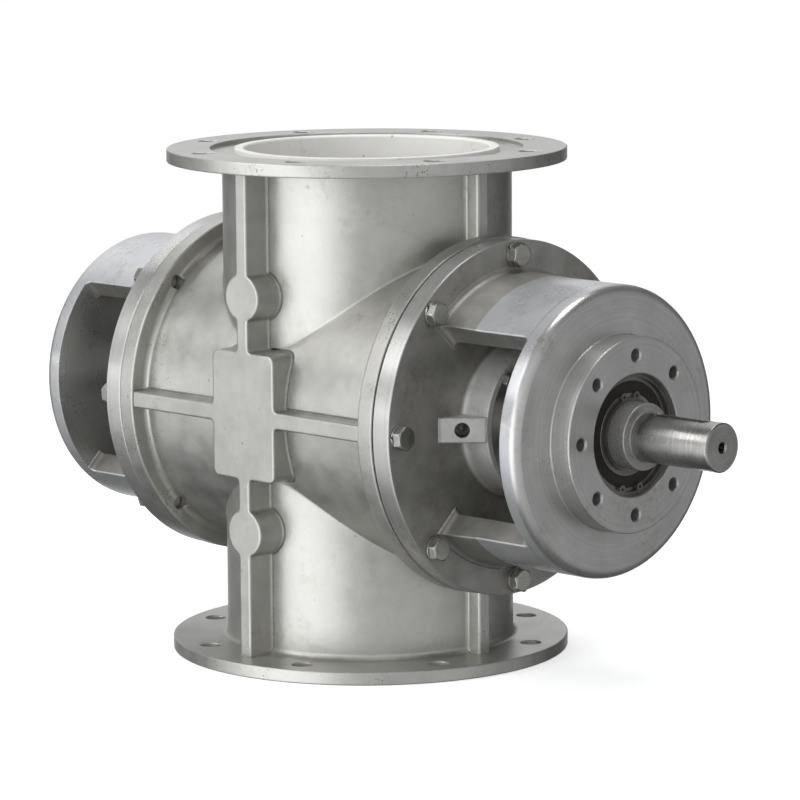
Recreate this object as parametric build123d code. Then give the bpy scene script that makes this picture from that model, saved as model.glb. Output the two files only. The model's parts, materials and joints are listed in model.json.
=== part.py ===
"""Lined rotary feed valve with outboard bearings, in millimetres.

The origin is the centre of the outlet flange's lower face, Z is up, and the rotor turns about
the X axis direction at axis_height, with the drive end at +X. The front of the casting faces -Y.
"""

import math
import os

from build123d import *

# Driving sizes of the casting
overall_height = 430.0
flange_diameter = 340.0
flange_thickness = 11.0
flange_rim_to_bolts = 22.5
flange_bolt_count = 8
inlet_hole_diameter = 18.5
outlet_hole_diameter = 17.5
flange_rim_to_recess = 37.0
flange_recess_depth = 4.0
neck_fillet = 5.0
barrel_wall = 12.0
barrel_fillet = 5.0
neck_wall = 10.5
neck_to_body_end = 30.0
body_flange_thickness = 16.0
body_flange_lip = 15.0
body_flange_round = 1.5
rib_height = 13.5
rib_thickness = 13.0
level_rib_thickness = 14.0
boss_disc_radius = 20.0
boss_disc_offset = 99.0
pad_width = 74.0
pad_height = 107.0
pad_corner = 6.0

# Driving sizes of the liners and the rotor
recess_seat_width = 29.0
neck_liner_wall = 8.5
liner_rim_round = 2.1
chamber_liner_wall = 7.0
rotor_past_inlet = 10.7
rotor_tip_gap = 0.3
rotor_end_gap = 0.5
vane_count = 8
vane_thickness = 7.0
vane_land = 3.0
rotor_hub_radius = 46.0
pocket_fillet = 12.0
liner_gap = 0.1

# Driving sizes of the end covers
gasket_thickness = 1.0
cover_thickness = 18.0
cover_edge_step = 1.0
cover_edge_chamfer = 1.0
cover_spigot_length = 18.0
spigot_gap = 0.1
cover_bolt_count = 8
cover_bolt_edge = 13.0
lantern_length = 114.0
lantern_wall = 20.0
lantern_clear_of_bolts = 16.0
lantern_root_flare = 2.0
lantern_root_length = 38.0
lantern_nose_round = 8.0
window_half_angle = 45.0
window_corner = 6.0
end_plate_thickness = 18.0
hub_ring_radius = 80.0
hub_ring_height = 20.0
hub_bolt_circle = 130.0
hub_bolt_count = 8
hub_hole_depth = 24.0

# Driving sizes of the shaft seal
seal_boss_radius = 63.0
seal_boss_length = 28.0
seal_boss_fillet = 6.0
seal_plate_thickness = 6.0
seal_plate_radius = 58.0
seal_bore_radius = 41.0
lantern_ring_width = 12.0
lantern_ring_waist = 6.0
lantern_ring_hole_count = 6
lantern_ring_hole_radius = 1.5
packing_ring_count = 3
seal_screw_circle_radius = 52.5
seal_screw_count = 4
port_block_width = 21.0
port_radius = 5.9
port_depth = 14.0
port_passage_radius = 3.0

# Driving sizes of the bearings
bearing_bore_radius = 27.5
bearing_outer_radius = 50.0
bearing_width = 21.0
bearing_setback = 8.0
bearing_shoulder_radius = 42.0
ball_share = 0.3173
ball_count = 10
ball_gap = 0.05
ring_land_share = 0.28
shield_thickness = 1.2
cage_thickness = 1.4
cage_width = 17.0

# Driving sizes of the shaft
shaft_end_radius = 20.0
shaft_end_length = 80.0
shaft_end_chamfer = 1.0
shaft_collar_reach = 19.0
shaft_seal_radius = 30.0
shaft_rotor_radius = 34.0
shaft_running_gap = 0.3
tail_shaft_reach = 6.0
centre_hole_radius = 4.0
centre_hole_depth = 16.0
keyway_width = 12.0
keyway_depth = 5.0
keyway_length = 63.0
keyway_start = 6.0
rotor_key_width = 18.0
rotor_key_height = 11.0
rotor_key_length = 120.0
rotor_key_seat = 7.0
key_gap = 0.1

# Driving sizes of the fasteners and circlips
cover_bolt_radius = 6.0
cover_bolt_length = 32.0
cover_bolt_across_flats = 18.0
cover_bolt_head = 7.5
cover_bolt_hole_gap = 0.75
bolt_crown_drop = 1.4
bolt_crown_inset = 0.4
thread_gap = 0.1
washer_outer_radius = 10.3
washer_thickness = 2.5
washer_split = 2.0
seal_screw_radius = 4.0
seal_screw_length = 18.0
seal_screw_across_flats = 13.0
seal_screw_head = 5.3
cap_screw_radius = 5.0
cap_screw_length = 22.0
cap_screw_across_flats = 16.0
cap_screw_head = 6.4
cap_radius = 78.0
cap_thickness = 8.0
cap_spigot_length = 4.5
cap_edge_round = 2.0
cap_pocket_depth = 3.4
circlip_groove_depth = 1.75
bore_circlip_thickness = 3.0
bore_circlip_width = 5.0
shaft_circlip_thickness = 2.0
shaft_circlip_width = 4.2
circlip_eye_radius = 3.6
circlip_eye_hole = 1.25
circlip_gap_angle = 22.0
circlip_eye_angle = 13.6
circlip_side_gap = 0.1

# Places worked out from the driving sizes
axis_height = overall_height / 2
flange_radius = flange_diameter / 2
flange_bolt_radius = flange_radius - flange_rim_to_bolts
flange_recess_radius = flange_radius - flange_rim_to_recess
inlet_bore_radius = flange_recess_radius - recess_seat_width
rotor_radius = inlet_bore_radius + rotor_past_inlet
chamber_radius = rotor_radius + rotor_tip_gap
chamber_seat_radius = chamber_radius + chamber_liner_wall
barrel_radius = chamber_seat_radius + barrel_wall
body_flange_radius = barrel_radius + body_flange_lip
neck_seat_radius = inlet_bore_radius + neck_liner_wall
neck_radius = neck_seat_radius + neck_wall
body_half_length = neck_radius + neck_to_body_end
body_flange_back = body_half_length - body_flange_thickness
rib_face = barrel_radius + rib_height
cover_seat = body_half_length + gasket_thickness
cover_radius = body_flange_radius - cover_edge_step
cover_face = cover_seat + cover_thickness
spigot_end = cover_seat - cover_spigot_length - gasket_thickness
cover_bolt_circle_radius = body_flange_radius - cover_bolt_edge
lantern_radius = cover_bolt_circle_radius - lantern_clear_of_bolts
lantern_end = cover_face + lantern_length
window_end = lantern_end - end_plate_thickness
hub_face = lantern_end + hub_ring_height
bearing_face = hub_face - bearing_setback
bearing_back = bearing_face - bearing_width
bearing_middle = bearing_face - bearing_width / 2
bearing_section = bearing_outer_radius - bearing_bore_radius
ball_radius = ball_share * bearing_section
ring_land = ring_land_share * bearing_section
ball_circle_radius = (bearing_bore_radius + bearing_outer_radius) / 2
hub_hole_radius = cap_screw_radius + thread_gap
seal_boss_face = cover_face + seal_boss_length
seal_plate_seat = seal_boss_face - seal_plate_thickness
port_x = cover_face + seal_boss_length / 2
port_y = -seal_boss_radius - seal_boss_length / 2
lantern_ring_middle = port_x + port_y + seal_bore_radius
seal_bore_end = lantern_ring_middle - lantern_ring_width / 2
packing_start = seal_bore_end + lantern_ring_width
seal_section = seal_bore_radius - shaft_seal_radius
seal_nose_start = packing_start + packing_ring_count * seal_section
collar_end = bearing_face + shaft_collar_reach
shaft_end = collar_end + shaft_end_length
tail_shaft_end = bearing_face + tail_shaft_reach
chamber_half_length = spigot_end - liner_gap
rotor_half_length = spigot_end - rotor_end_gap
washer_face = cover_face + washer_thickness


def station(x, turn=0):
    """A drawing plane square to the rotor axis at x: its X runs to +Y and its Y runs up."""
    plane = Plane(origin=(x, 0, axis_height), x_dir=(0, 1, 0), z_dir=(1, 0, 0))
    return plane.rotated((0, 0, turn))


def round_bar(start, end, radius, bore=0.0):
    """A bar, or a tube where it has a bore, along the rotor axis."""
    bar = extrude(station(start) * Circle(radius), end - start)
    if bore:
        bar -= extrude(station(start) * Circle(bore), end - start)
    return bar


def turned(corners):
    """A body turned about the rotor axis from corners (x, radius, rounding)."""
    points = [(x, 0, axis_height + radius) for x, radius, rounding in corners]
    outline = FilletPolyline(*points, radius=[rounding for x, radius, rounding in corners], close=True)
    return revolve(make_face(outline), Axis((0, 0, axis_height), (1, 0, 0)))


def upright(bottom, top, radius, bore=0.0):
    """A round bar or tube standing on Z."""
    bar = extrude(Plane.XY.offset(bottom) * Circle(radius), top - bottom)
    if bore:
        bar -= extrude(Plane.XY.offset(bottom) * Circle(bore), top - bottom)
    return bar


def around_axis(count, radius, start_angle=0.0):
    """The (y, z) offsets of a bolt circle about the rotor axis."""
    angles = [math.radians(start_angle + 360 / count * step) for step in range(count)]
    return [(radius * math.cos(angle), radius * math.sin(angle)) for angle in angles]


def tail(shape):
    """The same piece at the tail end."""
    return mirror(shape, about=Plane.YZ)


def flange_holes(bottom, top, diameter):
    """The bolt holes of one pipe flange, straddling the centre lines."""
    spots = PolarLocations(flange_bolt_radius, flange_bolt_count, start_angle=180 / flange_bolt_count)
    drill = upright(bottom, top, diameter / 2)
    return [spot * drill for spot in spots]


def front_rib_outline():
    """The upright front rib, its two boss discs and the level rib, as drawn on the front."""
    height = overall_height - 2 * flange_thickness
    outline = Rectangle(rib_thickness, height)
    outline += Rectangle(2 * body_flange_back, level_rib_thickness)
    for side in (-1, 1):
        outline += Pos(0, side * boss_disc_offset) * Circle(boss_disc_radius)
    return outline


def front_plane(side):
    """A drawing plane on the rotor axis, facing +Y or -Y."""
    return Plane(origin=(0, 0, axis_height), x_dir=(-side, 0, 0), z_dir=(0, side, 0))


def side_ribs():
    """The ribs that stand on the necks over and under the barrel, at both ends of the rotor axis."""
    reach = body_flange_back
    height = overall_height - 2 * flange_thickness
    return Pos(0, 0, axis_height) * Box(2 * reach, rib_thickness, height)


def make_housing():
    """The casting: barrel, necks, pipe flanges, body flanges, ribs, boss discs and front pad."""
    solid_neck = upright(flange_thickness, overall_height - flange_thickness, neck_radius)
    flanges = upright(0, flange_thickness, flange_radius)
    flanges += upright(overall_height - flange_thickness, overall_height, flange_radius)
    body_flange = turned(
        [
            (body_flange_back, barrel_radius - barrel_fillet, 0),
            (body_flange_back, body_flange_radius, body_flange_round),
            (body_half_length, body_flange_radius, 0),
            (body_half_length, barrel_radius - barrel_fillet, 0),
        ]
    )
    barrel = round_bar(-body_half_length, body_half_length, barrel_radius)
    casting = barrel + body_flange + tail(body_flange)
    casting = fillet(barrel_corner_edges(casting), barrel_fillet)
    necks = solid_neck + flanges
    necks = fillet(neck_corner_edges(necks), neck_fillet)
    casting = casting + necks + side_ribs()
    for side in (-1, 1):
        casting += extrude(front_plane(side) * front_rib_outline(), rib_face)
    pad = RectangleRounded(pad_width, pad_height, pad_corner)
    casting += extrude(front_plane(-1) * pad, rib_face)
    casting -= round_bar(-body_half_length, body_half_length, chamber_seat_radius)
    casting -= upright(0, overall_height, neck_seat_radius)
    casting -= upright(0, flange_recess_depth, flange_recess_radius)
    casting -= upright(overall_height - flange_recess_depth, overall_height, flange_recess_radius)
    casting -= flange_holes(0, flange_thickness, outlet_hole_diameter)
    casting -= flange_holes(overall_height - flange_thickness, overall_height, inlet_hole_diameter)
    tapped_radius = cover_bolt_radius + thread_gap
    for y, z in around_axis(cover_bolt_count, cover_bolt_circle_radius):
        hole = Pos(0, y, z) * round_bar(body_flange_back - barrel_fillet, body_half_length, tapped_radius)
        casting -= hole
        casting -= tail(hole)
    return casting


def barrel_corner_edges(casting):
    """The inside corners where the body flanges stand up from the barrel."""
    rings = casting.edges().filter_by(GeomType.CIRCLE)
    return [
        edge
        for edge in rings
        if abs(edge.radius - barrel_radius) < 0.01 and abs(abs(edge.center().X) - body_flange_back) < 0.01
    ]


def neck_corner_edges(necks):
    """The inside corners between each pipe flange and its neck."""
    rings = necks.edges().filter_by(GeomType.CIRCLE)
    return [edge for edge in rings if abs(edge.radius - neck_radius) < 0.01]


def make_chamber_liner():
    """The sleeve that the rotor turns in, open to the inlet and the outlet."""
    sleeve = round_bar(
        -chamber_half_length, chamber_half_length, chamber_seat_radius - liner_gap, chamber_radius
    )
    return sleeve - upright(0, overall_height, inlet_bore_radius)


def make_inlet_liner():
    """The sleeve in the inlet neck, saddled on the chamber liner, with a rounded rim."""
    outer = neck_seat_radius - liner_gap
    sleeve = upright(axis_height, overall_height, outer, inlet_bore_radius)
    rim = [edge for edge in sleeve.edges().filter_by(GeomType.CIRCLE) if edge.center().Z > axis_height]
    sleeve = fillet(rim, liner_rim_round)
    return sleeve - round_bar(-2 * outer, 2 * outer, chamber_seat_radius)


def make_rotor():
    """Eight vanes with relieved tips on a hub, with filleted pockets and a keyed bore."""
    section = Circle(rotor_hub_radius)
    tip = rotor_radius - vane_land
    for step in range(vane_count):
        turn = 360 / vane_count * (step + 0.5)
        vane = make_face(
            Polyline(
                (0, -vane_thickness / 2),
                (tip, -vane_thickness / 2),
                (tip, vane_thickness / 2),
                (0, vane_thickness / 2),
                close=True,
            )
        )
        tip_land = make_face(
            Polyline(
                (tip, -vane_thickness / 2),
                (rotor_radius, -vane_thickness / 2),
                (rotor_radius, vane_land - vane_thickness / 2),
                (tip, vane_thickness / 2),
                close=True,
            )
        )
        section += Rot(0, 0, turn) * vane
        section += Rot(0, 0, turn) * tip_land
    section &= Circle(rotor_radius)
    roots = [
        corner
        for corner in section.vertices()
        if abs(math.hypot(corner.X, corner.Y) - rotor_hub_radius) < 0.01
    ]
    section = fillet(roots, pocket_fillet)
    rotor = extrude(station(-rotor_half_length) * section, 2 * rotor_half_length)
    rotor -= round_bar(-rotor_half_length, rotor_half_length, shaft_rotor_radius)
    key_top = shaft_rotor_radius - rotor_key_seat + rotor_key_height + key_gap
    keyway = Pos(0, 0, axis_height + key_top / 2) * Box(
        2 * rotor_half_length, rotor_key_width + 2 * key_gap, key_top
    )
    return rotor - keyway


def make_rotor_key():
    """The round-ended key between shaft and rotor."""
    bottom = axis_height + shaft_rotor_radius - rotor_key_seat
    return extrude(
        Plane.XY.offset(bottom) * SlotOverall(rotor_key_length, rotor_key_width), rotor_key_height
    )


def make_shaft():
    """The stepped shaft with the drive keyway, the rotor key seat and the circlip grooves."""
    groove = bearing_bore_radius - circlip_groove_depth
    circlip_start = bearing_face + circlip_side_gap
    circlip_end = circlip_start + shaft_circlip_thickness + circlip_side_gap
    shaft = turned(
        [
            (-tail_shaft_end, 0, 0),
            (-tail_shaft_end, bearing_bore_radius, 0),
            (-circlip_end, bearing_bore_radius, 0),
            (-circlip_end, groove, 0),
            (-circlip_start, groove, 0),
            (-circlip_start, bearing_bore_radius, 0),
            (-bearing_back, bearing_bore_radius, 0),
            (-bearing_back, shaft_seal_radius, 0),
            (-rotor_half_length, shaft_seal_radius, 0),
            (-rotor_half_length, shaft_rotor_radius, 0),
            (rotor_half_length, shaft_rotor_radius, 0),
            (rotor_half_length, shaft_seal_radius, 0),
            (bearing_back, shaft_seal_radius, 0),
            (bearing_back, bearing_bore_radius, 0),
            (circlip_start, bearing_bore_radius, 0),
            (circlip_start, groove, 0),
            (circlip_end, groove, 0),
            (circlip_end, bearing_bore_radius, 0),
            (collar_end - shaft_end_chamfer, bearing_bore_radius, 0),
            (collar_end, bearing_bore_radius - 2 * shaft_end_chamfer, 0),
            (collar_end, shaft_end_radius, 0),
            (shaft_end - shaft_end_chamfer, shaft_end_radius, 0),
            (shaft_end, shaft_end_radius - shaft_end_chamfer, 0),
            (shaft_end, 0, 0),
        ]
    )
    shaft -= round_bar(shaft_end - centre_hole_depth, shaft_end, centre_hole_radius)
    keyway_middle = collar_end + keyway_start + keyway_length / 2
    keyway_floor = axis_height + shaft_end_radius - keyway_depth
    keyway = Plane.XY.offset(keyway_floor) * Pos(keyway_middle, 0) * SlotOverall(keyway_length, keyway_width)
    shaft -= extrude(keyway, 2 * keyway_depth)
    key_seat = SlotOverall(rotor_key_length + 2 * key_gap, rotor_key_width + 2 * key_gap)
    key_floor = axis_height + shaft_rotor_radius - rotor_key_seat - key_gap
    return shaft - extrude(Plane.XY.offset(key_floor) * key_seat, rotor_key_height)


def make_cover():
    """The drive end cover: spigot, flange, windowed lantern, end plate, bearing hub and seal boss."""
    neck_bore = shaft_seal_radius + shaft_running_gap
    outside = turned(
        [
            (spigot_end, 0, 0),
            (spigot_end, chamber_seat_radius - spigot_gap, 0),
            (cover_seat, chamber_seat_radius - spigot_gap, 0),
            (cover_seat, cover_radius, 0),
            (cover_face - cover_edge_chamfer, cover_radius, 0),
            (cover_face, cover_radius - cover_edge_chamfer, 0),
            (cover_face, lantern_radius + lantern_root_flare, 0),
            (cover_face + lantern_root_length, lantern_radius, 0),
            (lantern_end, lantern_radius, lantern_nose_round),
            (lantern_end, hub_ring_radius, 0),
            (hub_face - cover_edge_chamfer, hub_ring_radius, 0),
            (hub_face, hub_ring_radius - cover_edge_chamfer, 0),
            (hub_face, 0, 0),
        ]
    )
    chamber = turned(
        [
            (cover_face, seal_boss_radius, seal_boss_fillet),
            (seal_boss_face, seal_boss_radius, 0),
            (seal_boss_face, 0, 0),
            (window_end, 0, 0),
            (window_end, lantern_radius - lantern_wall, window_corner),
            (cover_face, lantern_radius - lantern_wall, window_corner),
        ]
    )
    cover = outside - chamber
    for side in (-1, 1):
        cover -= window_cut(side)
    cover += port_block()
    cover -= round_bar(spigot_end, hub_face, neck_bore)
    cover -= round_bar(seal_bore_end, seal_boss_face, seal_bore_radius)
    cover -= round_bar(seal_plate_seat, seal_boss_face, seal_plate_radius + spigot_gap)
    cover -= round_bar(window_end, hub_face, bearing_shoulder_radius)
    cover -= round_bar(bearing_back, hub_face, bearing_outer_radius)
    groove_start = bearing_face + circlip_side_gap
    groove_end = groove_start + bore_circlip_thickness + circlip_side_gap
    cover -= round_bar(groove_start, groove_end, bearing_outer_radius + circlip_groove_depth)
    for y, z in around_axis(hub_bolt_count, hub_bolt_circle / 2):
        cover -= Pos(0, y, z) * round_bar(hub_face - hub_hole_depth, hub_face, hub_hole_radius)
    for y, z in around_axis(cover_bolt_count, cover_bolt_circle_radius):
        cover -= Pos(0, y, z) * round_bar(cover_seat, cover_face, cover_bolt_radius + cover_bolt_hole_gap)
    screw_hole_start = seal_boss_face - seal_screw_length
    for y, z in around_axis(seal_screw_count, seal_screw_circle_radius, 180 / seal_screw_count):
        cover -= Pos(0, y, z) * round_bar(screw_hole_start, seal_boss_face, seal_screw_radius + thread_gap)
    return cover - port_holes()


def window_cut(side):
    """One lantern window, its sides cut along planes through the rotor axis."""
    reach = 2 * lantern_radius
    half = math.radians(window_half_angle)
    wedge = make_face(
        Polyline(
            (0, 0),
            (side * reach * math.cos(half), -reach * math.sin(half)),
            (side * reach * math.cos(half), reach * math.sin(half)),
            close=True,
        )
    )
    slot = extrude(station(cover_face) * wedge, window_end - cover_face)
    return slot & round_bar(cover_face, window_end, reach, lantern_radius - lantern_wall - window_corner)


def port_block():
    """The wedge that joins cover face and seal boss under the purge port, facing out at 45 degrees."""
    inner = seal_boss_radius - seal_boss_fillet
    outer = seal_boss_radius + seal_boss_length
    wedge = make_face(
        Polyline(
            (cover_face - cover_edge_chamfer, -inner),
            (cover_face - cover_edge_chamfer, -outer),
            (cover_face, -outer),
            (seal_boss_face, -seal_boss_radius),
            (seal_boss_face, -inner),
            close=True,
        )
    )
    return extrude(Plane.XY.offset(axis_height - port_block_width / 2) * wedge, port_block_width)


def port_holes():
    """The threaded purge port and its passage down to the lantern ring."""
    mouth = Plane(origin=(port_x, port_y, axis_height), z_dir=(-1, 1, 0))
    passage_length = (-port_y - seal_bore_radius) * math.sqrt(2) + port_passage_radius
    port = extrude(mouth * Circle(port_radius), port_depth)
    return port + extrude(mouth * Circle(port_passage_radius), passage_length)


def make_cover_gasket():
    """The flat ring between the housing and the cover."""
    outer = cover_radius - cover_edge_chamfer
    bolt_hole = cover_bolt_radius + cover_bolt_hole_gap
    gasket = round_bar(body_half_length, cover_seat, outer, chamber_seat_radius)
    for y, z in around_axis(cover_bolt_count, cover_bolt_circle_radius):
        gasket -= Pos(0, y, z) * round_bar(body_half_length, cover_seat, bolt_hole)
    return gasket


def hex_bolt(seat, radius, length, across_flats, head):
    """A hexagon bolt on the rotor axis, its head resting at seat and its shank pointing inwards."""
    bolt = round_bar(seat - length, seat, radius)
    corner_radius = across_flats / math.sqrt(3)
    block = extrude(station(seat) * RegularPolygon(corner_radius, 6), head)
    crown = turned(
        [
            (seat, 0, 0),
            (seat, across_flats, 0),
            (seat + head - bolt_crown_drop, corner_radius, 0),
            (seat + head, across_flats / 2 - bolt_crown_inset, 0),
            (seat + head, 0, 0),
        ]
    )
    return bolt + (block & crown)


def spring_washer():
    """A split washer on the rotor axis."""
    washer = round_bar(cover_face, washer_face, washer_outer_radius, cover_bolt_radius + thread_gap)
    gap = Pos((cover_face + washer_face) / 2, 0, axis_height + washer_outer_radius / 2) * Box(
        2 * washer_thickness, washer_split, washer_outer_radius
    )
    return washer - gap


def placed(piece, spots):
    """One copy of a piece at each spot, kept as separate solids."""
    return Compound([Pos(0, y, z) * piece for y, z in spots])


def make_cover_bolts():
    """The bolts that hold the cover to the housing."""
    bolt = hex_bolt(
        washer_face, cover_bolt_radius, cover_bolt_length, cover_bolt_across_flats, cover_bolt_head
    )
    return placed(bolt, around_axis(cover_bolt_count, cover_bolt_circle_radius))


def make_cover_washers():
    """The split washers under the cover bolts."""
    return placed(spring_washer(), around_axis(cover_bolt_count, cover_bolt_circle_radius))


def make_lantern_ring():
    """The spacer ring at the purge port, waisted outside and in and pierced by six holes."""
    outer = seal_bore_radius - liner_gap
    inner = shaft_seal_radius + shaft_running_gap
    waist_start = seal_bore_end + (lantern_ring_width - lantern_ring_waist) / 2
    waist_end = waist_start + lantern_ring_waist
    waist_depth = seal_section / 4
    ring = round_bar(seal_bore_end, packing_start, outer, inner)
    ring -= round_bar(waist_start, waist_end, outer, outer - waist_depth)
    ring -= round_bar(waist_start, waist_end, inner + waist_depth, inner)
    hole = extrude(Pos(lantern_ring_middle, 0, axis_height) * Circle(lantern_ring_hole_radius), outer)
    for step in range(lantern_ring_hole_count):
        turn = 360 / lantern_ring_hole_count * step
        ring -= hole.rotate(Axis((0, 0, axis_height), (1, 0, 0)), turn)
    return ring


def make_packing_rings():
    """The packing between the lantern ring and the seal plate."""
    outer = seal_bore_radius - liner_gap
    inner = shaft_seal_radius + shaft_running_gap
    rings = []
    for step in range(packing_ring_count):
        start = packing_start + step * seal_section
        rings.append(round_bar(start, start + seal_section, outer, inner))
    return Compound(rings)


def make_seal_plate():
    """The plate let into the seal boss, its nose pressing on the packing."""
    inner = shaft_seal_radius + 2 * shaft_running_gap
    plate = round_bar(seal_plate_seat, seal_boss_face, seal_plate_radius, inner)
    plate += round_bar(seal_nose_start, seal_plate_seat, seal_bore_radius - liner_gap, inner)
    for y, z in around_axis(seal_screw_count, seal_screw_circle_radius, 180 / seal_screw_count):
        plate -= Pos(0, y, z) * round_bar(seal_plate_seat, seal_boss_face, seal_screw_radius + thread_gap)
    return plate


def make_seal_screws():
    """The hexagon screws of the seal plate."""
    screw = hex_bolt(
        seal_boss_face, seal_screw_radius, seal_screw_length, seal_screw_across_flats, seal_screw_head
    )
    return placed(screw, around_axis(seal_screw_count, seal_screw_circle_radius, 180 / seal_screw_count))


def make_outer_race():
    """The bearing's outer ring with its ball groove."""
    ring = round_bar(bearing_back, bearing_face, bearing_outer_radius, bearing_outer_radius - ring_land)
    return ring - ball_path()


def make_inner_race():
    """The bearing's inner ring with its ball groove."""
    ring = round_bar(bearing_back, bearing_face, bearing_bore_radius + ring_land, bearing_bore_radius)
    return ring - ball_path()


def ball_path():
    """The ring-shaped space that the balls run in, a little larger than the balls."""
    groove = Pos(bearing_middle, axis_height + ball_circle_radius) * Circle(ball_radius + ball_gap)
    return revolve(Plane.XZ * groove, Axis((0, 0, axis_height), (1, 0, 0)))


def make_balls():
    """The balls of one bearing."""
    ball = Pos(bearing_middle, 0, axis_height) * Sphere(ball_radius)
    return placed(ball, around_axis(ball_count, ball_circle_radius))


def make_cage():
    """The ring that spaces the balls, bored through at each ball."""
    half = cage_width / 2
    cage = round_bar(
        bearing_middle - half,
        bearing_middle + half,
        ball_circle_radius + cage_thickness,
        ball_circle_radius - cage_thickness,
    )
    ball_room = Pos(bearing_middle, 0, axis_height) * Sphere(ball_radius + ball_gap)
    return cage - placed(ball_room, around_axis(ball_count, ball_circle_radius))


def make_shields():
    """The rubber shields that close both faces of the bearing, held in the outer ring."""
    outer = bearing_outer_radius - ring_land
    inner = bearing_bore_radius + ring_land + shaft_running_gap
    return Compound(
        [
            round_bar(bearing_back, bearing_back + shield_thickness, outer, inner),
            round_bar(bearing_face - shield_thickness, bearing_face, outer, inner),
        ]
    )


def make_bore_circlip():
    """The circlip that holds the bearing in the hub bore, with its two eyes at the bottom."""
    start = bearing_face + circlip_side_gap
    outer = bearing_outer_radius + circlip_groove_depth - circlip_side_gap
    inner = outer - bore_circlip_width
    clip = round_bar(start, start + bore_circlip_thickness, outer, inner)
    clip -= circlip_gap(start, bore_circlip_thickness, outer, 270)
    eye_circle = inner - circlip_eye_radius / 2
    return add_eyes(clip, start, bore_circlip_thickness, eye_circle, 270)


def make_shaft_circlip():
    """The circlip that holds the bearing on the shaft, with its two eyes at the top."""
    start = bearing_face + circlip_side_gap
    inner = bearing_bore_radius - circlip_groove_depth + circlip_side_gap
    outer = inner + shaft_circlip_width
    clip = round_bar(start, start + shaft_circlip_thickness, outer, inner)
    clip -= circlip_gap(start, shaft_circlip_thickness, outer, 90)
    eye_circle = outer + circlip_eye_radius / 2
    return add_eyes(clip, start, shaft_circlip_thickness, eye_circle, 90)


def circlip_gap(start, thickness, outer, middle_angle):
    """The wedge cut out of a circlip between its eyes."""
    half = math.radians(circlip_gap_angle / 2)
    reach = 2 * outer
    wedge = make_face(
        Polyline(
            (0, 0),
            (reach * math.cos(half), -reach * math.sin(half)),
            (reach * math.cos(half), reach * math.sin(half)),
            close=True,
        )
    )
    return extrude(station(start, middle_angle) * wedge, thickness)


def add_eyes(clip, start, thickness, eye_circle, middle_angle):
    """Adds the two pierced eyes beside a circlip's gap."""
    for side in (-1, 1):
        angle = math.radians(middle_angle + side * circlip_eye_angle)
        spot = Pos(0, eye_circle * math.cos(angle), eye_circle * math.sin(angle))
        clip += spot * round_bar(start, start + thickness, circlip_eye_radius)
        clip -= spot * round_bar(start, start + thickness, circlip_eye_hole)
    return clip


def make_tail_cap():
    """The plate over the tail bearing, drawn at the drive end and mirrored later."""
    cap = turned(
        [
            (hub_face - cap_spigot_length, 0, 0),
            (hub_face - cap_spigot_length, bearing_outer_radius - spigot_gap, 0),
            (hub_face, bearing_outer_radius - spigot_gap, 0),
            (hub_face, cap_radius, 0),
            (hub_face + cap_thickness, cap_radius, cap_edge_round),
            (hub_face + cap_thickness, 0, 0),
        ]
    )
    pocket_radius = bearing_outer_radius - circlip_groove_depth - bore_circlip_width
    pocket_start = hub_face - cap_spigot_length
    cap -= round_bar(pocket_start, pocket_start + cap_pocket_depth, pocket_radius)
    for y, z in around_axis(hub_bolt_count, hub_bolt_circle / 2):
        cap -= Pos(0, y, z) * round_bar(hub_face, hub_face + cap_thickness, cap_screw_radius + thread_gap)
    return cap


def make_cap_screws():
    """The screws of the tail cap, in the hub's tapped holes."""
    screw = hex_bolt(
        hub_face + cap_thickness, cap_screw_radius, cap_screw_length, cap_screw_across_flats, cap_screw_head
    )
    return placed(screw, around_axis(hub_bolt_count, hub_bolt_circle / 2))


both_ends = {
    "end_cover": make_cover(),
    "cover_gasket": make_cover_gasket(),
    "cover_bolts": make_cover_bolts(),
    "cover_washers": make_cover_washers(),
    "lantern_ring": make_lantern_ring(),
    "packing_rings": make_packing_rings(),
    "seal_plate": make_seal_plate(),
    "seal_screws": make_seal_screws(),
    "bearing_outer_ring": make_outer_race(),
    "bearing_inner_ring": make_inner_race(),
    "bearing_balls": make_balls(),
    "bearing_cage": make_cage(),
    "bearing_shields": make_shields(),
    "bore_circlip": make_bore_circlip(),
    "shaft_circlip": make_shaft_circlip(),
}

inlet_liner = make_inlet_liner()
pieces = {
    "housing_casting": make_housing(),
    "chamber_liner": make_chamber_liner(),
    "inlet_liner": inlet_liner,
    "outlet_liner": mirror(inlet_liner, about=Plane.XY.offset(axis_height)),
    "rotor": make_rotor(),
    "rotor_key": make_rotor_key(),
    "rotor_shaft": make_shaft(),
    "tail_cap": tail(make_tail_cap()),
    "tail_cap_screws": tail(make_cap_screws()),
}
for name, piece in both_ends.items():
    pieces["drive_" + name] = piece
    pieces["tail_" + name] = tail(piece)

os.makedirs("parts", exist_ok=True)
for name, piece in pieces.items():
    export_step(piece, f"parts/{name}.step")
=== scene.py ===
# %% [markdown]
# Lined feed valve with outboard bearings
#
# A rotary feed valve stands in a pipe line like a revolving door for powder. Product falls through the
# upper flange into the pockets of a rotor, turns half round with it and leaves through the lower flange,
# while the vanes keep the air in. This file dresses the imported model: every piece is placed from the
# same sizes as the solids, so nothing has to be fitted by eye.
#
# The first cell loads the frame.

# %% Load the frame
import json
import math

import bmesh
import bpy
import numpy as np
from mathutils import Matrix, Vector

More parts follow.
